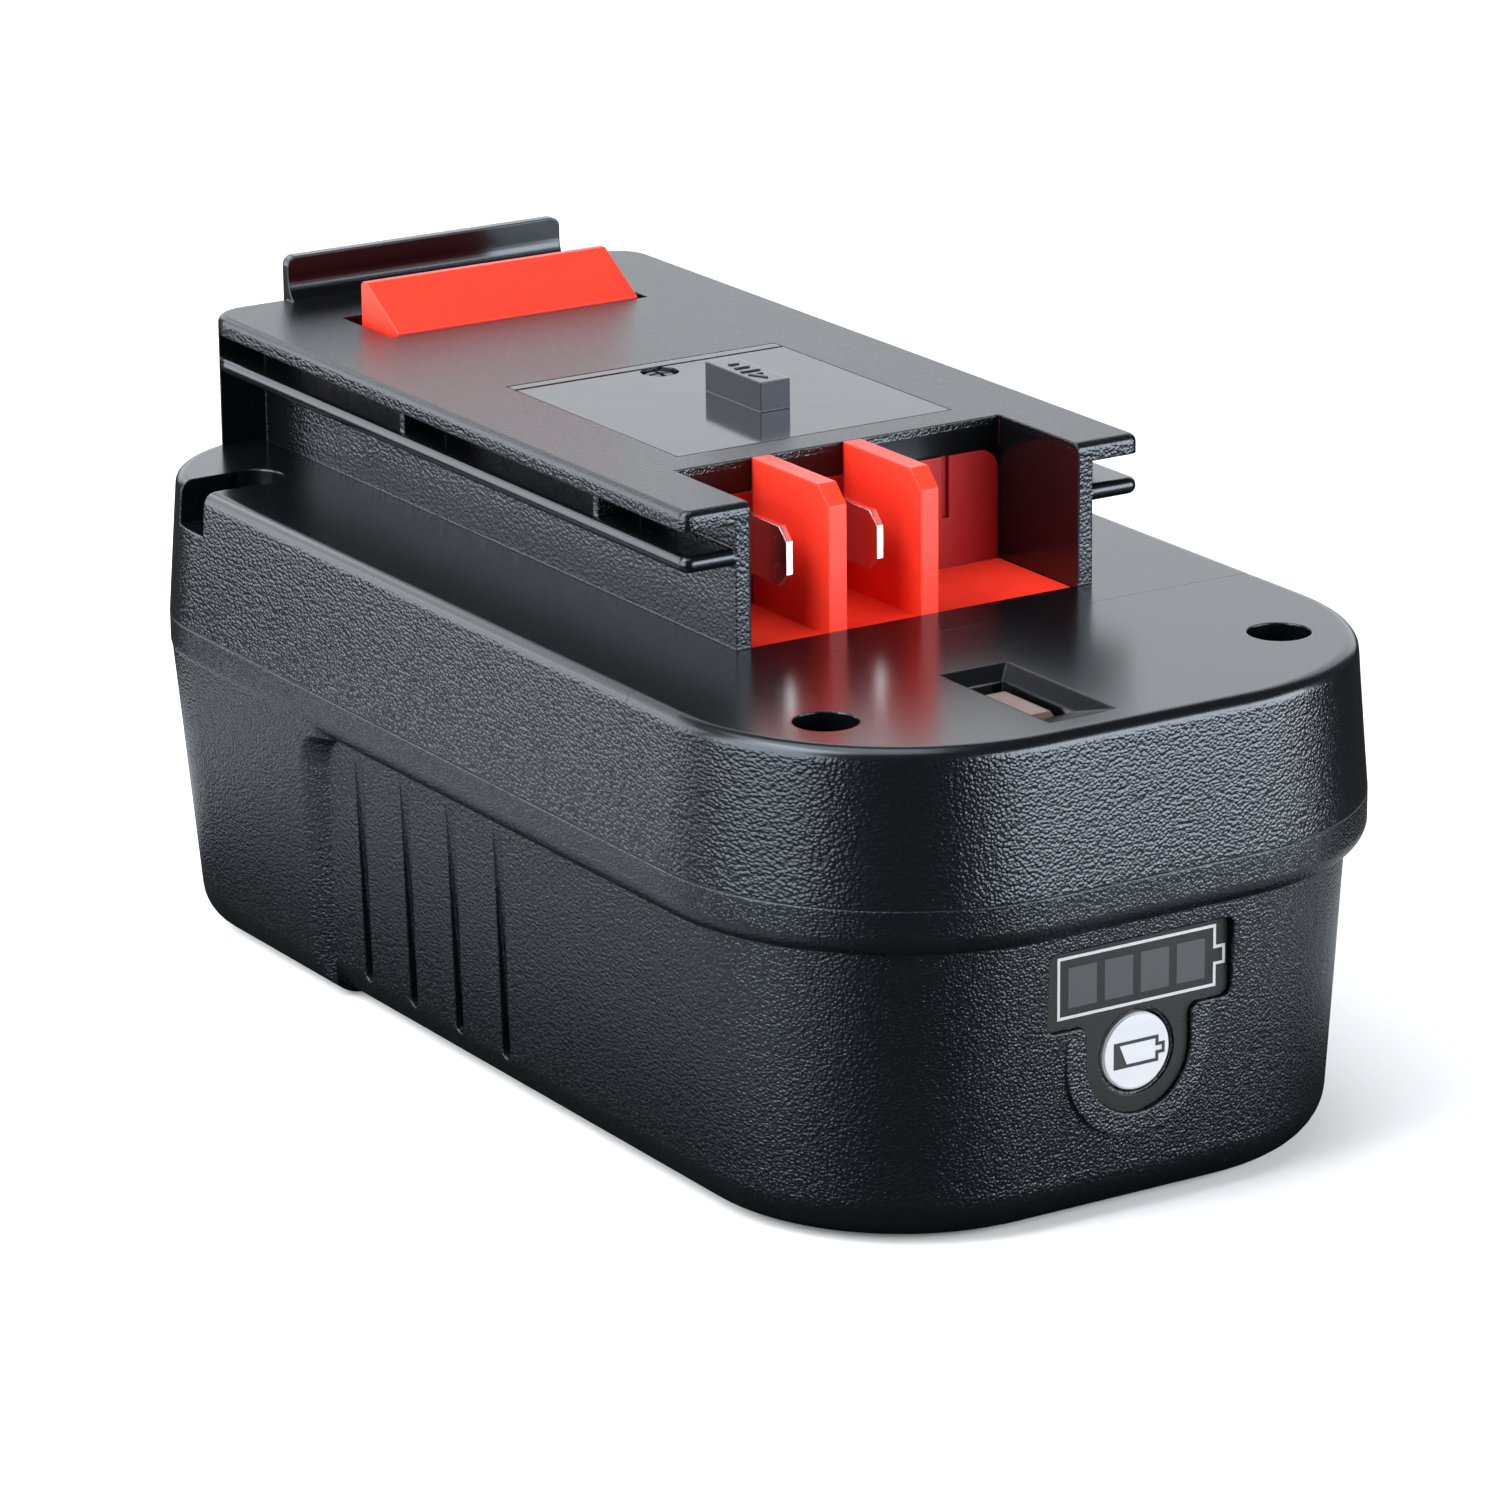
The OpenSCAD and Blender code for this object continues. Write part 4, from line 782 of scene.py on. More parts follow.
@dataclass(frozen=True)
class Palette:
    """Every finish of the pack."""

    cover: Finish = CoverPlastic("cover_plastic")
    case: Finish = CasePlastic("case_plastic")
    key: Finish = GlossPlastic("key_plastic")
    red: Finish = BlockPlastic("red_plastic", (0.80, 0.034, 0.016, 1.0), (0.74, 0.028, 0.013, 1.0),
                               rough=0.38, grain=2.6, edge_r=0.25, gloss=0.35)
    button: Finish = Moulding("button_plastic", (0.33, 0.34, 0.36, 1.0), (0.30, 0.31, 0.33, 1.0),
                              rough=0.42, grain=3.2, edge_r=0.3)
    film: Finish = Moulding("label_film", (0.0042, 0.0046, 0.0056, 1.0), (0.0054, 0.0059, 0.0070, 1.0),
                            rough=0.42, grain=6.0, depth=0.03, edge_r=0.1, gloss=0.3)
    guide: Finish = Moulding("guide_plastic", grey(0.42), grey(0.36),
                             rough=0.25, grain=2.0, depth=0.01, edge_r=0.15)
    dark: Finish = Moulding("dark_plastic", (0.030, 0.031, 0.033, 1.0), grey(0.036),
                            rough=0.45, depth=0.03, edge_r=0.25)
    chip: Finish = Moulding("chip_plastic", grey(0.016), grey(0.020),
                            rough=0.55, grain=7.0, depth=0.03, edge_r=0.1)
    plunger: Finish = Moulding("plunger_plastic", (0.42, 0.03, 0.02, 1.0), (0.36, 0.025, 0.02, 1.0))
    led: Finish = Moulding("led_plastic", (0.80, 0.76, 0.58, 1.0), (0.84, 0.82, 0.70, 1.0),
                           rough=0.3, depth=0.01, edge_r=0.1)
    sleeve: Finish = Moulding("wire_sleeve", (0.66, 0.65, 0.61, 1.0), (0.58, 0.57, 0.54, 1.0),
                              rough=0.42, grain=2.5, edge_r=0.1)
    nickel: Finish = Metal("blade_nickel", (0.80, 0.80, 0.79, 1.0), (0.66, 0.66, 0.66, 1.0), rough=0.20)
    link: Finish = Metal("link_nickel", (0.62, 0.61, 0.58, 1.0), (0.50, 0.49, 0.47, 1.0), rough=0.32)
    bronze: Finish = Metal("contact_bronze", (0.42, 0.30, 0.27, 1.0), (0.30, 0.21, 0.19, 1.0), rough=0.34)
    screw: Finish = Metal("screw_steel", (0.12, 0.12, 0.13, 1.0), (0.07, 0.07, 0.08, 1.0),
                          rough=0.34, squeeze=(1.0, 1.0, 1.0))
    spring: Finish = Metal("spring_steel", (0.55, 0.56, 0.58, 1.0), (0.40, 0.41, 0.43, 1.0),
                           rough=0.28, squeeze=(1.0, 1.0, 0.4))
    flat_board: Finish = Laminate("flat_board", 2)
    upright_board: Finish = Laminate("upright_board", 0)
    cell: Finish = CellSleeve("cell_sleeve")
    paper: Finish = Fibre("insulating_paper")
    white_ink: Finish = Ink("white_ink")
    segment_ink: Finish = Ink("segment_ink", (0.0180, 0.0200, 0.0246, 1.0),
                              (0.0150, 0.0168, 0.0208, 1.0), rough=0.45)
    dark_ink: Finish = Ink("dark_ink", (0.0030, 0.0032, 0.0036, 1.0),
                           (0.0060, 0.0062, 0.0068, 1.0), rough=0.6)


PALETTE = Palette()


class GeometryKit(NodeKit):
    """A geometry tree with named inputs for its sizes."""

    def __init__(self, name: str, points: Sequence[Vector] = ()) -> None:
        """Start a tree.

        Args:
            name: name of the tree
            points: places that the tree's own geometry starts with
        """
        super().__init__(bpy.data.node_groups.new(name, "GeometryNodeTree"))
        self.name = name
        self.points = list(points)
        self.values: dict[str, Any] = {}
        self.tree.interface.new_socket("Geometry", in_out="INPUT", socket_type="NodeSocketGeometry")
        self.tree.interface.new_socket("Geometry", in_out="OUTPUT", socket_type="NodeSocketGeometry")
        self.entry = self.tree.nodes.new("NodeGroupInput")
        self.start = Shade(self, self.entry.outputs[0])

    def size(self, name: str, value: Any, kind: str = "NodeSocketFloat") -> Shade:
        """Add a named input.

        Args:
            name: its name
            value: its value, in metres where it is a length
            kind: type of its socket

        Returns:
            the input, to be linked
        """
        socket = self.tree.interface.new_socket(name, in_out="INPUT", socket_type=kind)
        self.values[socket.identifier] = value
        return Shade(self, next(o for o in self.entry.outputs if o.identifier == socket.identifier))

    def mesh(self, geometry: Shade, finish: Finish) -> bpy.types.Mesh:
        """Run the tree.

        Args:
            geometry: what the tree has made
            finish: finish of the result

        Returns:
            a plain mesh
        """
        whole = self.add("GeometryNodeRealizeInstances", None, {0: geometry})
        painted = self.add("GeometryNodeSetMaterial", None,
                           {"Geometry": whole, "Material": finish.material()})
        target = self.tree.nodes.new("NodeGroupOutput")
        self.tree.links.new(painted.socket, target.inputs[0])
        source = bpy.data.meshes.new(self.name + "_source")
        source.from_pydata([tuple(p) for p in self.points], [], [])
        carrier = bpy.data.objects.new(self.name + "_source", source)
        bpy.context.scene.collection.objects.link(carrier)
        modifier = carrier.modifiers.new("pattern", "NODES")
        modifier.node_group = self.tree
        for identifier, value in self.values.items():
            modifier[identifier] = value
        made = plain_mesh(carrier)
        bpy.data.objects.remove(carrier)
        return made


def plain_mesh(holder: bpy.types.Object) -> bpy.types.Mesh:
    """Give what an object looks like with its modifiers, as a plain mesh.

    Args:
        holder: the object

    Returns:
        a new mesh
    """
    bpy.context.view_layer.update()
    graph = bpy.context.evaluated_depsgraph_get()
    return bpy.data.meshes.new_from_object(holder.evaluated_get(graph))


class Lie(Enum):
    """How a flat mark lies; its value turns its own axes into the pack's."""

    FRONT = ((0.0, 0.0, 1.0), (1.0, 0.0, 0.0), (0.0, 1.0, 0.0))
    TOP = ((1.0, 0.0, 0.0), (0.0, 1.0, 0.0), (0.0, 0.0, 1.0))

    def at(self, place: Vector) -> Matrix:
        """Give the matrix that puts a mark at a place, in metres."""
        return Matrix.Translation(place) @ Matrix(self.value).to_4x4()


def prism(shape: bmesh.types.BMesh, outer: Sequence[Point], inner: Sequence[Point], thick: float) -> None:
    """Add a flat raised shape, or a raised line where it has an inner outline.

    Args:
        shape: mesh that it is added to, in metres
        outer: its outline
        inner: outline of its hole with as many points, or nothing
        thick: its height
    """
    loops = [[[shape.verts.new((u * MM, v * MM, w * MM)) for u, v in line] for w in (0.0, thick)]
             for line in (outer, inner) if line]
    count = len(outer)
    for low, high in loops:
        for i in range(count):
            j = (i + 1) % count
            shape.faces.new((low[i], low[j], high[j], high[i]))
    if inner:
        for level in (0, 1):
            for i in range(count):
                j = (i + 1) % count
                ends = [loops[0][level][i], loops[0][level][j], loops[1][level][j], loops[1][level][i]]
                shape.faces.new(ends)
    else:
        shape.faces.new(loops[0][0])
        shape.faces.new(loops[0][1])


def mark_mesh(name: str, build: Callable[[bmesh.types.BMesh], None], lie: Lie, place: Vector,
              edge: float = 0.0) -> bpy.types.Mesh:
    """Make the mesh of a flat mark.

    Args:
        name: name of the mesh
        build: adds the mark's shapes
        lie: how the mark lies
        place: where its own origin goes, in metres
        edge: rounding of its upper edges

    Returns:
        the mesh, in place
    """
    shape = bmesh.new()
    build(shape)
    bmesh.ops.recalc_face_normals(shape, faces=shape.faces)
    if edge > 0.0:
        top = max(v.co.z for v in shape.verts)
        rims = [e for e in shape.edges if all(v.co.z > top - 1e-7 for v in e.verts)
                and any(f.normal.z < 0.5 for f in e.link_faces)]
        bmesh.ops.bevel(shape, geom=rims, offset=edge * MM, segments=2, affect="EDGES", profile=0.5)
    shape.transform(lie.at(place))
    made = bpy.data.meshes.new(name)
    shape.to_mesh(made)
    shape.free()
    return made


def smooth(mesh: bpy.types.Mesh, angle: float = 35.0) -> None:
    """Shade a mesh smoothly, except over edges sharper than an angle in degrees."""
    mesh.polygons.foreach_set("use_smooth", [True] * len(mesh.polygons))
    mesh.set_sharp_from_angle(angle=math.radians(angle))


def add_piece(name: str, mesh: bpy.types.Mesh, body: Body, finish: Finish,
              stands_for: Sequence[str] = ()) -> bpy.types.Object:
    """Put a mesh into the scene as a piece of the pack.

    Args:
        name: name of the piece
        mesh: its mesh, in place
        body: body that it rides on
        finish: its finish
        stands_for: CAD nodes that it is shown in place of

    Returns:
        the piece
    """
    mesh.materials.clear()
    mesh.materials.append(finish.material())
    made = bpy.data.objects.new(name, mesh)
    bpy.context.scene.collection.objects.link(made)
    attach(made, body.value)
    if stands_for:
        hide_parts(*stands_for)
    LOG.info("piece %s on %s, %d faces", name, body.value, len(mesh.polygons))
    return made


@dataclass
class SubAssembly:
    """A group of CAD nodes that is dressed together.

    Attributes:
        nodes: every CAD node, by name
    """

    nodes: dict[str, bpy.types.Object]

    def dress(self, finish: Finish, *names: str) -> None:
        """Give CAD nodes a finish.

        Args:
            finish: the finish
            names: names of the nodes
        """
        for name in names:
            node = self.nodes[name]
            if not node.material_slots:
                node.data.materials.append(None)
            for slot in node.material_slots:
                slot.material = finish.material()
            LOG.info("node %s in %s", name, finish.name)

    def build(self) -> None:
        """Build and dress the group; each group has its own way."""
        raise NotImplementedError


def lathe(shape: bmesh.types.BMesh, profile: Sequence[Point], sides: int = 40) -> None:
    """Turn an outline round the Z axis.

    Args:
        shape: mesh that it is added to, in metres
        profile: radius and height of each point, starting and ending on the axis
        sides: how many sides it gets
    """
    rings = []
    for radius, height in profile:
        count = sides if radius > 0.0 else 1
        turns = [math.tau * i / count for i in range(count)]
        rings.append([shape.verts.new((radius * MM * math.cos(t), radius * MM * math.sin(t), height * MM))
                      for t in turns])
    for low, high in zip(rings, rings[1:]):
        for i in range(sides):
            j = (i + 1) % sides
            corners = [low[i % len(low)], low[j % len(low)], high[j % len(high)], high[i % len(high)]]
            shape.faces.new(list(dict.fromkeys(corners)))


@dataclass(frozen=True)
class ScrewSet:
    """Like screws with a domed cross head, all upright or all hanging.

    Attributes:
        name: name of the piece, and of the node that it is shown in place of
        thread_d: diameter of the shank
        head_d: diameter of the head
        head_h: height of the head
        length: length of the shank
        seat_z: height of the head's seat
        places: X and Y of each screw
        hanging: whether the heads point down
        tip: radius and length of the shank's tip, as shares of the shank's radius
        brim: radius and height of the head's lower edge, as shares of the head's
        rim: height at which the dome starts, as a share of the head's height
        cross: half length and half width of the cross's arms, as shares of the head's diameter
        cross_foot: height of the foot of the cross, as a share of the head's height
    """

    name: str
    thread_d: float
    head_d: float
    head_h: float
    length: float
    seat_z: float
    places: tuple[Point, ...]
    hanging: bool = False
    tip: Point = (0.6, 0.8)
    brim: Point = (0.97, 0.06)
    rim: float = 0.3
    cross: Point = (0.32, 0.075)
    cross_foot: float = 0.42

    def profile(self) -> list[Point]:
        """Give the outline of one screw.

        Returns:
            radius and height of its points, from the tip of the shank to the top of the head
        """
        shank, head, top = self.thread_d / 2, self.head_d / 2, self.head_h
        foot = [(0.0, -self.length), (self.tip[0] * shank, -self.length),
                (shank, self.tip[1] * shank - self.length), (shank, 0.0)]
        brim = [(self.brim[0] * head, 0.0), (head, self.brim[1] * top)]
        dome = [(head * math.cos(a), top * (self.rim + (1.0 - self.rim) * math.sin(a))) for a in
                (math.radians(d) for d in range(0, 90, 15))]
        return foot + brim + dome + [(0.0, top)]

    def unit(self) -> bpy.types.Object:
        """Make one screw with its cross recess.

        Returns:
            an object that is not part of the pack, to be copied and removed
        """
        shape = bmesh.new()
        lathe(shape, self.profile())
        bmesh.ops.recalc_face_normals(shape, faces=shape.faces)
        screw = self.loose(shape, "screw")
        arm, width = (share * self.head_d for share in self.cross)
        cross = bmesh.new()
        outline = [(arm, -width), (arm, width), (width, width), (width, arm), (-width, arm), (-width, width),
                   (-arm, width), (-arm, -width), (-width, -width), (-width, -arm), (width, -arm),
                   (width, -width)]
        prism(cross, outline, (), 2.0 * self.head_h)
        bmesh.ops.translate(cross, verts=cross.verts, vec=(0.0, 0.0, self.cross_foot * self.head_h * MM))
        bmesh.ops.recalc_face_normals(cross, faces=cross.faces)
        cutter = self.loose(cross, "cross")
        cutting = screw.modifiers.new("recess", "BOOLEAN")
        cutting.object = cutter
        cutting.solver = "EXACT"
        screw.data = plain_mesh(screw)
        screw.modifiers.clear()
        bpy.data.objects.remove(cutter)
        smooth(screw.data)
        return screw

    def loose(self, shape: bmesh.types.BMesh, kind: str) -> bpy.types.Object:
        """Turn a worked mesh into an object for a while.

        Args:
            shape: the mesh, which is freed
            kind: what it is

        Returns:
            the object
        """
        mesh = bpy.data.meshes.new(f"{self.name}_{kind}")
        shape.to_mesh(mesh)
        shape.free()
        made = bpy.data.objects.new(mesh.name, mesh)
        bpy.context.scene.collection.objects.link(made)
        return made

    def build(self) -> None:
        """Place a copy of the screw at each place, each turned by its own angle."""
        unit = self.unit()
        if self.hanging:
            unit.data.transform(Matrix.Rotation(math.pi, 4, "X"))
        kit = GeometryKit(self.name, [Vector((x, y, self.seat_z)) * MM for x, y in self.places])
        screw = kit.size("Screw", unit, "NodeSocketObject")
        seed = kit.size("Turn Seed", 7, "NodeSocketInt")
        info = kit.add("GeometryNodeObjectInfo", {"transform_space": "ORIGINAL"}, {"Object": screw},
                       "Geometry")
        turn = kit.add("FunctionNodeRandomValue", {"data_type": "FLOAT"}, {2: 0.0, 3: math.tau, 8: seed}, 1)
        upright = kit.add("ShaderNodeCombineXYZ", None, {2: turn})
        spin = kit.add("FunctionNodeEulerToRotation", None, {0: upright})
        copies = kit.add("GeometryNodeInstanceOnPoints", None,
                         {"Points": kit.start, "Instance": info, "Rotation": spin})
        mesh = kit.mesh(copies, PALETTE.screw)
        bpy.data.objects.remove(unit)
        add_piece(self.name + "_turned", mesh, Body.PACK, PALETTE.screw, (self.name,))


@dataclass
class CaseShell(SubAssembly):
    """Lower case, cover and the four screws that join them.

    Attributes:
        screw_x: distance of the screws from the middle
        front_y: Y of the front screws
        rear_y: Y of the rear screws
        seat_z: height of the screws' seats
    """

    screw_x: float = 56.8
    front_y: float = 27.9
    rear_y: float = 31.3
    seat_z: float = 45.0

    def build(self) -> None:
        """Dress both halves and make their screws."""
        self.dress(PALETTE.case, "lower_case")
        self.dress(PALETTE.cover, "top_cover")
        places = tuple((x, side * y) for x, y in ((self.screw_x, self.front_y), (-self.screw_x, self.rear_y))
                       for side in (1.0, -1.0))
        ScrewSet("cover_screws", thread_d=2.9, head_d=5.6, head_h=2.2, length=21.8, seat_z=self.seat_z,
                 places=places).build()


@dataclass
class KeyPlate(SubAssembly):
    """Polished key plate with the raised marks on its post.

    Attributes:
        tip_x: X of the pointer's tip
        post_y: Y of the middle of the post
        mark_h: how far the marks stand up
        mark_half: half the width of the widest mark
        mark_edge: rounding of the marks' edges
        pointer_l: length of the pointer
        hole: ends of the pointer's hole, behind the tip, and half its width
        bar_w: width of the bars
        bar_back: distance of the first bar behind the tip, and spacing of the bars
        bar_shares: lengths of the bars, as shares of the widest mark
        screw_x: X of the plate's screw
        screw_z: height of the seat of that screw
    """

    tip_x: float = -0.2
    post_y: float = 1.6
    mark_h: float = 0.16
    mark_half: float = 1.15
    mark_edge: float = 0.05
    pointer_l: float = 2.2
    hole: Triple = (0.95, 1.8, 0.45)
    bar_w: float = 0.5
    bar_back: Point = (3.6, 1.7)
    bar_shares: Triple = (1.0, 0.75, 0.5)
    screw_x: float = -20.0
    screw_z: float = 68.15

    def marks(self, shape: bmesh.types.BMesh) -> None:
        """Add a pointer and three bars of falling length.

        Args:
            shape: mesh that they are added to
        """
        tip, foot = self.tip_x, self.tip_x - self.pointer_l
        near, far, slim = self.hole
        outer = ((tip, 0.0), (foot, self.mark_half), (foot, -self.mark_half))
        inner = ((tip - near, 0.0), (tip - far, slim), (tip - far, -slim))
        prism(shape, outer, inner, self.mark_h)
        for index, share in enumerate(self.bar_shares):
            x = tip - self.bar_back[0] - self.bar_back[1] * index
            low, high, reach = x - self.bar_w / 2, x + self.bar_w / 2, self.mark_half * share
            prism(shape, ((low, -reach), (high, -reach), (high, reach), (low, reach)), (), self.mark_h)

    def build(self) -> None:
        """Dress the plate, and make its marks and its screw."""
        self.dress(PALETTE.key, "key_plate")
        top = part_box("key_plate")[1].z
        mesh = mark_mesh("key_marks", self.marks, Lie.TOP, Vector((0.0, self.post_y * MM, top)),
                         self.mark_edge)
        add_piece("key_marks", mesh, Body.PACK, PALETTE.key)
        places = ((self.screw_x, 0.0),)
        ScrewSet("key_screw", thread_d=2.2, head_d=4.0, head_h=0.7, length=6.0, seat_z=self.screw_z,
                 places=places).build()


@dataclass
class Terminals(SubAssembly):
    """Terminal block with its blades, and the sense contact under the deck with its lead."""

    def build(self) -> None:
        """Dress the block, the blades, the contact and its lead."""
        self.dress(PALETTE.red, "terminal_block")
        self.dress(PALETTE.nickel, "positive_blade", "negative_blade")
        self.dress(PALETTE.bronze, "sense_contact")
        self.dress(PALETTE.sleeve, "sense_lead")


@dataclass
class LatchUnit(SubAssembly):
    """Latch, its retainer and the two coil springs between them.

    Attributes:
        coil_r: mean radius of a coil
        wire_r: radius of the wire
        turns: turns of a coil
        steps: steps of a turn, and sides of the wire
        spring_x: X of the coils
        spring_y: distance of the coils from the middle
        travel: travel of the latch; not used
        hanger: X and distance from the middle of the retainer's screws
        screw_z: height of the seats of those screws
    """

    coil_r: float = 2.8
    wire_r: float = 0.3
    turns: float = 7.0
    steps: tuple[int, int] = (40, 12)
    spring_x: float = -61.9
    spring_y: float = 8.0
    travel: float = 4.8
    hanger: Point = (-65.1, 17.0)
    screw_z: float = 45.0

    def spring(self, name: str, y: float) -> None:
        """Make a fixed coil in place of a spring node.

        Args:
            name: the CAD node that it is shown in place of
            y: Y of its axis
        """
        low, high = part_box(name)
        height = high.z - low.z
        kit = GeometryKit(name)
        mean = kit.size("Coil Radius", self.coil_r * MM)
        wire = kit.size("Wire Radius", self.wire_r * MM)
        turns = kit.size("Turns", self.turns)
        rise = kit.size("Rise", height - 2.0 * self.wire_r * MM)
        place = kit.size("Foot", Vector((self.spring_x * MM, y * MM, low.z + self.wire_r * MM)),
                         "NodeSocketVector")
        spiral = kit.add("GeometryNodeCurveSpiral", None, {"Resolution": self.steps[0], "Rotations": turns,
                         "Start Radius": mean, "End Radius": mean, "Height": rise})
        ring = kit.add("GeometryNodeCurvePrimitiveCircle", None,
                       {"Resolution": self.steps[1], "Radius": wire})
        tube = kit.add("GeometryNodeCurveToMesh", None,
                       {"Curve": spiral, "Profile Curve": ring, "Fill Caps": True})
        moved = kit.add("GeometryNodeTransform", None, {"Geometry": tube, "Translation": place})
        mesh = kit.mesh(moved, PALETTE.spring)
        smooth(mesh, angle=60.0)
        made = add_piece(name + "_coil", mesh, Body.PACK, PALETTE.spring, (name,))
        y * MM
        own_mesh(made)

    def build(self) -> None:
        """Dress the latch and make its springs and screws."""
        self.dress(PALETTE.red, "latch")
        self.dress(PALETTE.dark, "latch_retainer")
        self.spring("latch_spring_left", -self.spring_y)
        self.spring("latch_spring_right", self.spring_y)
        places = tuple((self.hanger[0], side * self.hanger[1]) for side in (1.0, -1.0))
        ScrewSet("latch_screws", thread_d=2.2, head_d=4.0, head_h=1.4, length=9.0, seat_z=self.screw_z,
                 places=places, hanging=True).build()


@dataclass
class Gauge(SubAssembly):
    """Charge gauge: printed label with four windows, and the marked button.

    Attributes:
        body: lowest and highest Y and Z of the printed battery, without its nub
        nub: Y of the end, and half height, of the nub
        line: width of the printed line
        window: width and height of a window
        pitch: spacing of the windows
        window_count: how many windows there are
        window_z: height of the middle of the windows
        button_z: height of the button's middle
        sign: lowest and highest Y and Z of the button's battery, from the button's middle
        sign_nub: Y of the end, and half height, of its nub
        sign_line: width of its line
        fill: width of its full part below and above
        print_t: thickness of the print
    """

    body: Quad = (-9.75, 9.8, 22.5, 29.15)
    nub: Point = (10.95, 1.05)
    line: float = 0.32
    window: Point = (3.5, 4.3)
    pitch: float = 4.45
    window_count: int = 4
    window_z: float = 25.75
    button_z: float = 17.4
    sign: Quad = (-2.8, 2.72, -1.57, 1.27)
    sign_nub: Point = (3.5, 0.62)
    sign_line: float = 0.36
    fill: Point = (1.6, 0.72)
    print_t: float = 0.03

    def outline(self, body: Quad, nub: Point, inset: float) -> list[Point]:
        """Give the outline of a battery with its nub on the right.

        Args:
            body: lowest and highest first and second number of its body
            nub: end of the nub, and its half height
            inset: how far the outline lies inside

        Returns:
            its points
        """
        left, right, low, high = body[0] + inset, body[1] - inset, body[2] + inset, body[3] - inset
        middle, end, half = (body[2] + body[3]) / 2, nub[0] - inset, nub[1] - inset
        return [(left, low), (right, low), (right, middle - half), (end, middle - half),
                (end, middle + half), (right, middle + half), (right, high), (left, high)]

    def battery(self, shape: bmesh.types.BMesh) -> None:
        """Add the label's battery as a line.

        Args:
            shape: mesh that it is added to
        """
        prism(shape, self.outline(self.body, self.nub, 0.0), self.outline(self.body, self.nub, self.line),
              self.print_t)

    def glyph(self, shape: bmesh.types.BMesh) -> None:
        """Add the button's small battery as a line, with its left part full.

        Args:
            shape: mesh that it is added to
        """
        left, right, low, high = self.sign
        prism(shape, self.outline(self.sign, self.sign_nub, 0.0),
              self.outline(self.sign, self.sign_nub, self.sign_line), self.print_t)
        inner = left + self.sign_line
        full = ((inner, low + self.sign_line), (left + self.fill[0], low + self.sign_line),
                (left + self.fill[1], high - self.sign_line), (inner, high - self.sign_line))
        prism(shape, full, (), self.print_t)

    def windows(self, front: float) -> bpy.types.Mesh:
        """Make the row of windows.

        Args:
            front: X of the label's face, in metres

        Returns:
            one mesh with every window
        """
        kit = GeometryKit("gauge_windows")
        wide = kit.size("Width", self.window[0] * MM)
        high = kit.size("Height", self.window[1] * MM)
        thick = kit.size("Thickness", self.print_t * MM)
        start = (1 - self.window_count) / 2 * self.pitch
        first = kit.size("First", Vector((front, start * MM, self.window_z * MM)), "NodeSocketVector")
        step = kit.size("Step", Vector((0.0, self.pitch * MM, 0.0)), "NodeSocketVector")
        count = kit.size("Count", self.window_count, "NodeSocketInt")
        row = kit.add("GeometryNodeMeshLine", {"mode": "OFFSET"},
                      {"Count": count, "Start Location": first, "Offset": step})
        pane = kit.add("GeometryNodeMeshCube", None,
                       {"Size": kit.add("ShaderNodeCombineXYZ", None, {0: 2.0 * thick, 1: wide, 2: high})})
        panes = kit.add("GeometryNodeInstanceOnPoints", None, {"Points": row, "Instance": pane})
        return kit.mesh(panes, PALETTE.segment_ink)

    def build(self) -> None:
        """Dress the gauge, and print its label and its button."""
        self.dress(PALETTE.film, "gauge_label")
        self.dress(PALETTE.guide, "light_guide")
        self.dress(PALETTE.button, "gauge_button")
        self.dress(PALETTE.upright_board, "gauge_board")
        self.dress(PALETTE.led, "gauge_leds")
        self.dress(PALETTE.dark, "switch_body")
        self.dress(PALETTE.plunger, "switch_plunger")
        self.dress(PALETTE.sleeve, "gauge_cable")
        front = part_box("gauge_label")[1].x
        mesh = mark_mesh("gauge_print", self.battery, Lie.FRONT, Vector((front, 0.0, 0.0)))
        add_piece("gauge_print", mesh, Body.PACK, PALETTE.white_ink)
        add_piece("gauge_windows", self.windows(front), Body.PACK, PALETTE.segment_ink)
        face = Vector((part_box("gauge_button")[1].x, 0.0, self.button_z * MM))
        mesh = mark_mesh("button_print", self.glyph, Lie.FRONT, face)
        add_piece("button_print", mesh, Body.BUTTON, PALETTE.dark_ink)


@dataclass
class CellPack(SubAssembly):
    """Ten cells in their holders, with links, papers and board.

    Attributes:
        cells: number of cells
        links: links on each side
        screw_x: X of the board's screws
        screw_y: distance of those screws from the middle
        board_z: height of the board's upper face
    """

    cells: int = 10
    links: int = 3
    screw_x: Point = (-30.5, 26.5)
    screw_y: float = 23.0
    board_z: float = 46.2

    def build(self) -> None:
        """Dress every piece inside the case."""
        sides = ("left", "right")
        self.dress(PALETTE.cell, *(f"cell_{i + 1}" for i in range(self.cells)))
        self.dress(PALETTE.dark, *(f"holder_{side}" for side in sides))
        self.dress(PALETTE.link, *(f"link_{side}_{i + 1}" for side in sides for i in range(self.links)))
        self.dress(PALETTE.paper, *(f"paper_{side}" for side in sides))
        self.dress(PALETTE.flat_board, "protection_board")
        self.dress(PALETTE.chip, "power_transistors", "control_chip", "thermistor")
        places = tuple((x, side * self.screw_y) for x in self.screw_x for side in (1.0, -1.0))
        ScrewSet("board_screws", thread_d=2.2, head_d=4.0, head_h=1.4, length=7.6, seat_z=self.board_z,
                 places=places).build()


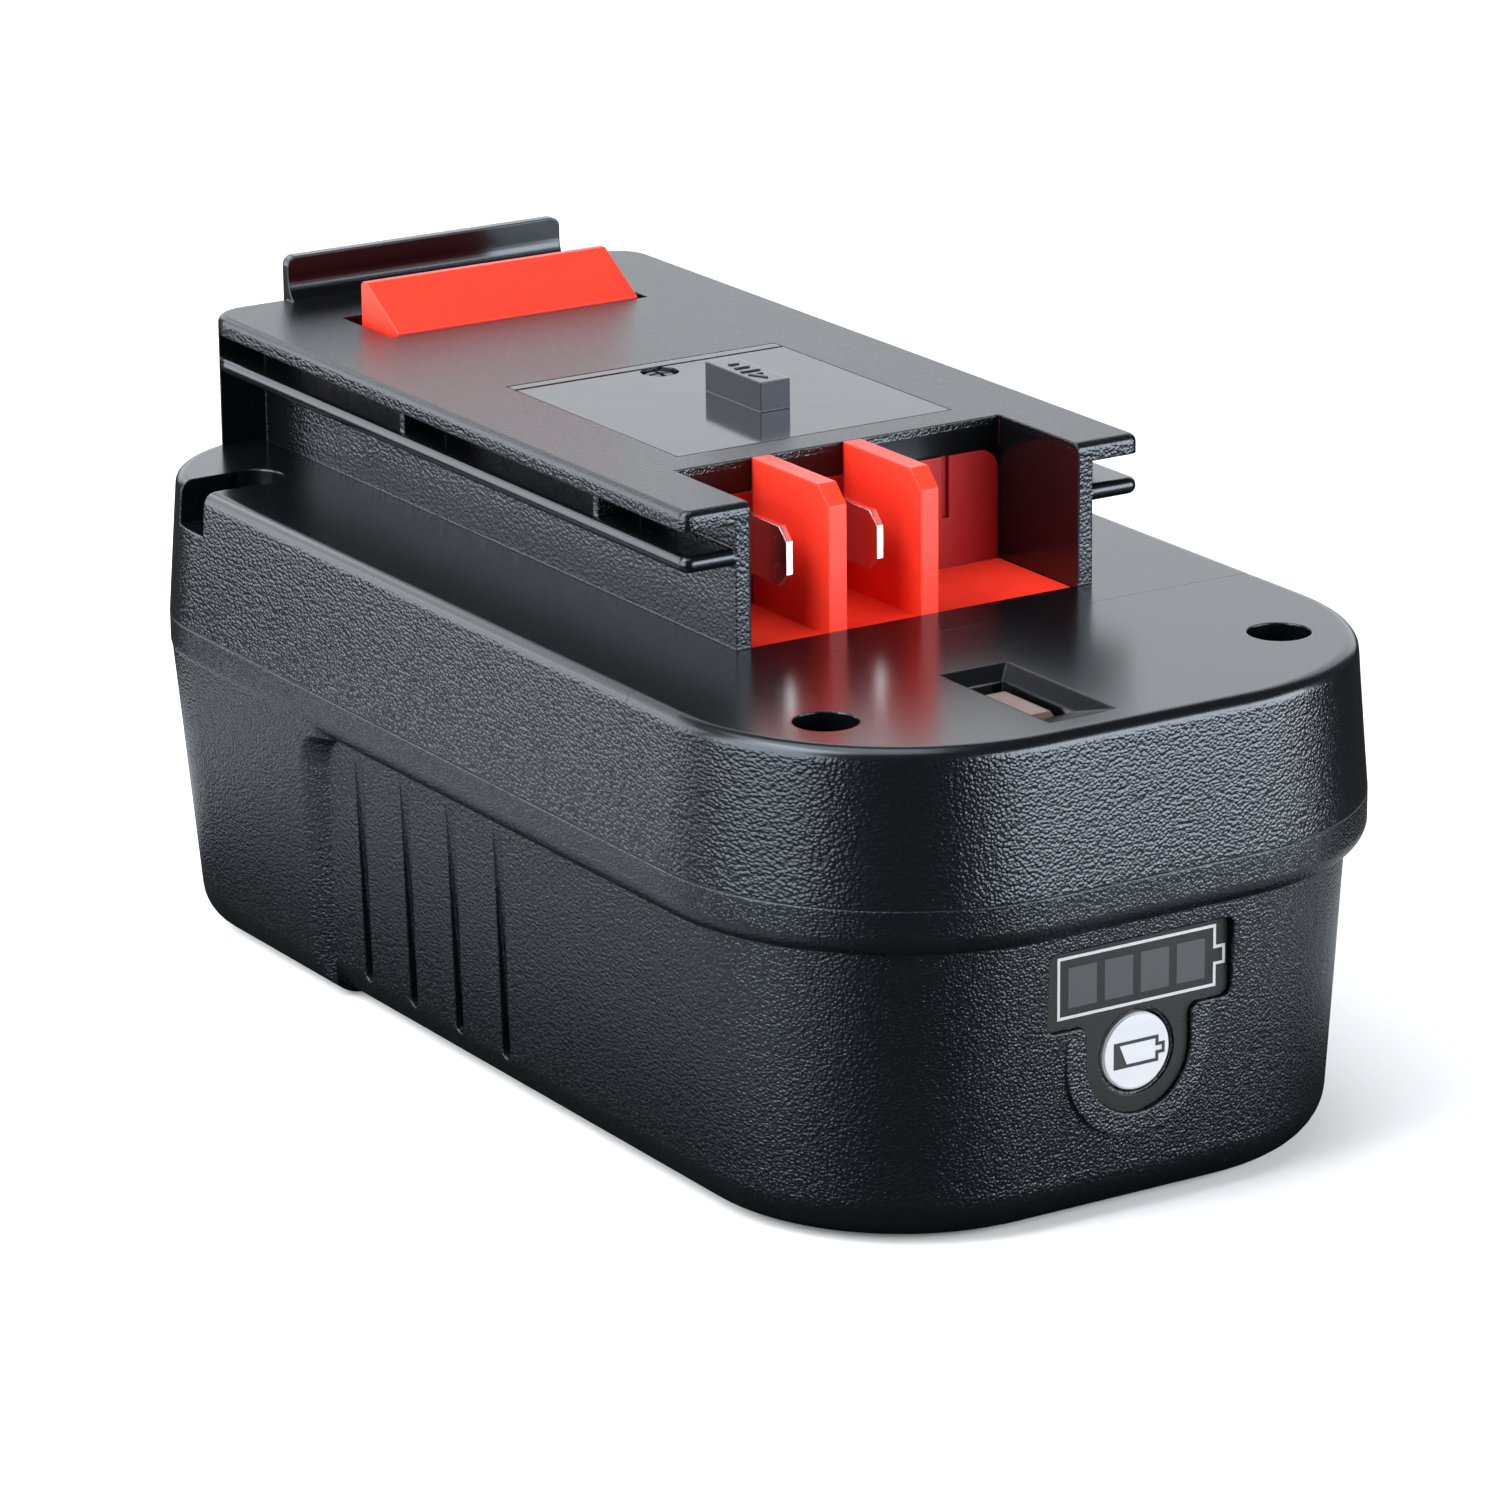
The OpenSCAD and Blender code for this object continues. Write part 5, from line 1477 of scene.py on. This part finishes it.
@dataclass(frozen=True)
class Softbox:
    """A flat studio panel of even brightness.

    Attributes:
        name: its name
        place: where it hangs, in metres
        aim: what it points at, in metres
        size: its width and height, in metres
        glow: its brightness
    """

    name: str
    place: Triple
    aim: Triple
    size: Point
    glow: float

    def build(self, tint: Colour) -> None:
        """Hang the panel.

        Args:
            tint: colour of its light
        """
        lamp = bpy.data.lights.new(self.name, "AREA")
        lamp.color = tint[:3]
        lamp.shape = "RECTANGLE"
        lamp.size, lamp.size_y = self.size
        lamp.energy = math.pi * self.size[0] * self.size[1] * self.glow
        holder = bpy.data.objects.new(self.name, lamp)
        holder.location = self.place
        holder.rotation_euler = (Vector(self.aim) - Vector(self.place)).to_track_quat("-Z", "Y").to_euler()
        bpy.context.scene.collection.objects.link(holder)


@dataclass(frozen=True)
class FloorPaper(Finish):
    """Pale paper floor; in reflections its colour is painted dark, with a lighter belt round the pack.

    Attributes:
        foot: half the pack's length and width
        near: distance from the pack over which the floor in reflections grows lighter
        beyond: distance over which it grows dark again
        fade: distance over which the floor goes over into the white surroundings
        hub: X and Y from which the dark sector painted into the reflections spreads
        way: direction in which that sector lies
        spread: how well a direction has to agree with that one, from the sector's faint edge to its full dark
        mirrored: colour of the belt, and of the rest, in reflections
    """

    foot: Point = (73.0, 39.0)
    near: Point = (10.0, 36.0)
    beyond: Point = (52.0, 84.0)
    fade: Point = (500.0, 1300.0)
    hub: Point = (58.0, -22.0)
    way: Point = (0.946, -0.326)
    spread: Point = (0.46, 0.76)
    mirrored: tuple[Colour, Colour] = ((0.37, 0.385, 0.40, 1.0), (0.01, 0.01, 0.01, 1.0))

    def sockets(self, kit: ShaderKit) -> dict[str, Value]:
        """Work out the shader's sockets.

        Args:
            kit: the material's node kit

        Returns:
            values of the shader's sockets
        """
        off = (abs(kit.x) - self.foot[0]).largest(abs(kit.y) - self.foot[1])
        flat = kit.vector("MULTIPLY", kit.place, (1.0, 1.0, 0.0))
        ray = kit.vector("NORMALIZE", kit.vector("SUBTRACT", flat, (*self.hub, 0.0)))
        # painted shade in reflections: a dark sector cut out of the lighter belt
        painted_dark_sector = kit.vector("DOT_PRODUCT", ray, (*self.way, 0.0), out=1).rise(*self.spread)
        belt = off.rise(*self.near) * off.fall(*self.beyond)
        mirror = kit.add("ShaderNodeLightPath", out="Is Glossy Ray")
        paper = kit.mix(kit.noise(0.6, 3.0), grey(0.86), grey(0.89))
        far, dark = self.mirrored
        watched = kit.add("ShaderNodeLightPath", out="Is Camera Ray")
        away = kit.vector("LENGTH", flat, out=1).rise(*self.fade)
        return {
            # pale paper to the camera; in reflections a painted colour: the lighter belt, and dark elsewhere
            "Base Color": kit.mix(mirror, paper, kit.mix(belt * (1.0 - painted_dark_sector), dark, far)),
            "Emission Color": kit.mix(away * watched, grey(0.0), grey(1.0)),
            "Emission Strength": 1.0,
            "Roughness": 0.9,
            "Specular IOR Level": 0.1,
        }


@dataclass
class Studio:
    """Pale floor, pale surroundings and soft panels.

    Attributes:
        floor_half: half the width of the floor, in metres
        floor_z: height of the floor, in metres
        ambient: brightness of the surroundings in light and reflections
        backdrop: brightness of the surroundings as the camera sees them
        tint: colour of the light
        panels: the soft panels
    """

    floor_half: float = 6.0
    floor_z: float = -0.0002
    ambient: float = 0.08
    backdrop: float = 1.0
    tint: Colour = (0.97, 1.0, 1.03, 1.0)
    panels: tuple[Softbox, ...] = (
        Softbox("panel_top", (-0.15, -0.35, 1.5), (0.0, 0.0, 0.0), (1.3, 1.3), 3.9),
        Softbox("panel_key", (-0.05, -0.65, 0.75), (0.0, 0.0, 0.05), (0.6, 0.6), 8.5),
        Softbox("panel_back", (-1.3, 0.82, 0.62), (0.0, 0.0, 0.05), (2.2, 1.2), 1.5),
        Softbox("panel_right", (0.348, 0.200, 0.105), (0.07, 0.0, 0.105), (0.44, 0.21), 10.6),
        Softbox("panel_side", (0.034, -0.40, 0.13), (0.034, 0.0, 0.13), (0.40, 0.26), 6.5),
        Softbox("panel_left", (-0.27, -0.20, 0.10), (-0.27, 0.0, 0.10), (0.36, 0.20), 3.8),
        Softbox("panel_edge", (-0.75, -0.20, 0.44), (0.0, 0.0, 0.05), (0.55, 0.26), 3.0),
    )

    def floor(self) -> None:
        """Lay the floor."""
        shape = bmesh.new()
        bmesh.ops.create_grid(shape, x_segments=1, y_segments=1, size=self.floor_half)
        bmesh.ops.translate(shape, verts=shape.verts, vec=(0.0, 0.0, self.floor_z))
        mesh = bpy.data.meshes.new("floor")
        shape.to_mesh(mesh)
        shape.free()
        mesh.materials.append(FloorPaper("floor_paper").material())
        made = bpy.data.objects.new("floor", mesh)
        bpy.context.scene.collection.objects.link(made)

    def surroundings(self) -> None:
        """Light the world dimly, and show it pale to the camera."""
        world = bpy.data.worlds.new("studio")
        world.use_nodes = True
        world.node_tree.nodes.clear()
        kit = NodeKit(world.node_tree)
        seen = kit.add("ShaderNodeBackground", None, {"Color": grey(1.0), "Strength": self.backdrop})
        felt = kit.add("ShaderNodeBackground", None, {"Color": self.tint, "Strength": self.ambient})
        camera = kit.add("ShaderNodeLightPath", out="Is Camera Ray")
        both = kit.add("ShaderNodeMixShader", None, {0: camera, 1: felt, 2: seen})
        target = world.node_tree.nodes.new("ShaderNodeOutputWorld")
        world.node_tree.links.new(both.socket, target.inputs["Surface"])
        bpy.context.scene.world = world

    def build(self) -> None:
        """Set up the whole studio."""
        self.floor()
        self.surroundings()
        for panel in self.panels:
            panel.build(self.tint)
        bpy.context.scene.view_settings.view_transform = "Standard"
        bpy.context.scene.view_settings.look = "None"
        LOG.info("studio with %d panels", len(self.panels))


@dataclass
class PhotoCamera:
    """Camera at the photograph's place.

    Attributes:
        place: its place
        right: direction of the picture's right
        up: direction of the picture's top
        back: direction from the pack to the camera
        lens: focal length
        sensor: width of the sensor
        clip: nearest and farthest distance that it sees, in metres
    """

    place: Triple = (599.98868, -376.61473, 254.66878)
    right: Triple = (0.5327861, 0.8462001, -0.0091858)
    up: Triple = (-0.2504601, 0.1680450, 0.9534310)
    back: Triple = (0.8083370, -0.5056741, 0.3014714)
    lens: float = 163.34856
    sensor: float = 36.0
    clip: Point = (0.01, 50.0)

    def build(self) -> None:
        """Put the camera in place."""
        camera = bpy.data.cameras.new("photo_camera")
        camera.lens = self.lens
        camera.sensor_width = self.sensor
        camera.clip_start, camera.clip_end = self.clip
        camera.dof.use_dof = False
        holder = bpy.data.objects.new("photo_camera", camera)
        turn = Matrix((self.right, self.up, self.back)).transposed().to_4x4()
        holder.matrix_world = Matrix.Translation(Vector(self.place) * MM) @ turn
        bpy.context.scene.collection.objects.link(holder)
        bpy.context.scene.camera = holder


def corners(box: tuple[Vector, Vector]) -> dict[str, list[float]]:
    """Give a box as plain lists."""
    return {"min": [float(part) for part in box[0]], "max": [float(part) for part in box[1]]}


def main() -> None:
    """Load the frame and build every sub-assembly in order."""
    logging.basicConfig(level=logging.INFO, format="%(name)s: %(message)s")
    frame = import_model()
    Studio().build()
    PhotoCamera().build()
    for group in (CaseShell, KeyPlate, Terminals, LatchUnit, Gauge, CellPack):
        LOG.info("building %s", group.__name__)
        group(frame["nodes"]).build()


if __name__ == "__main__":
    main()
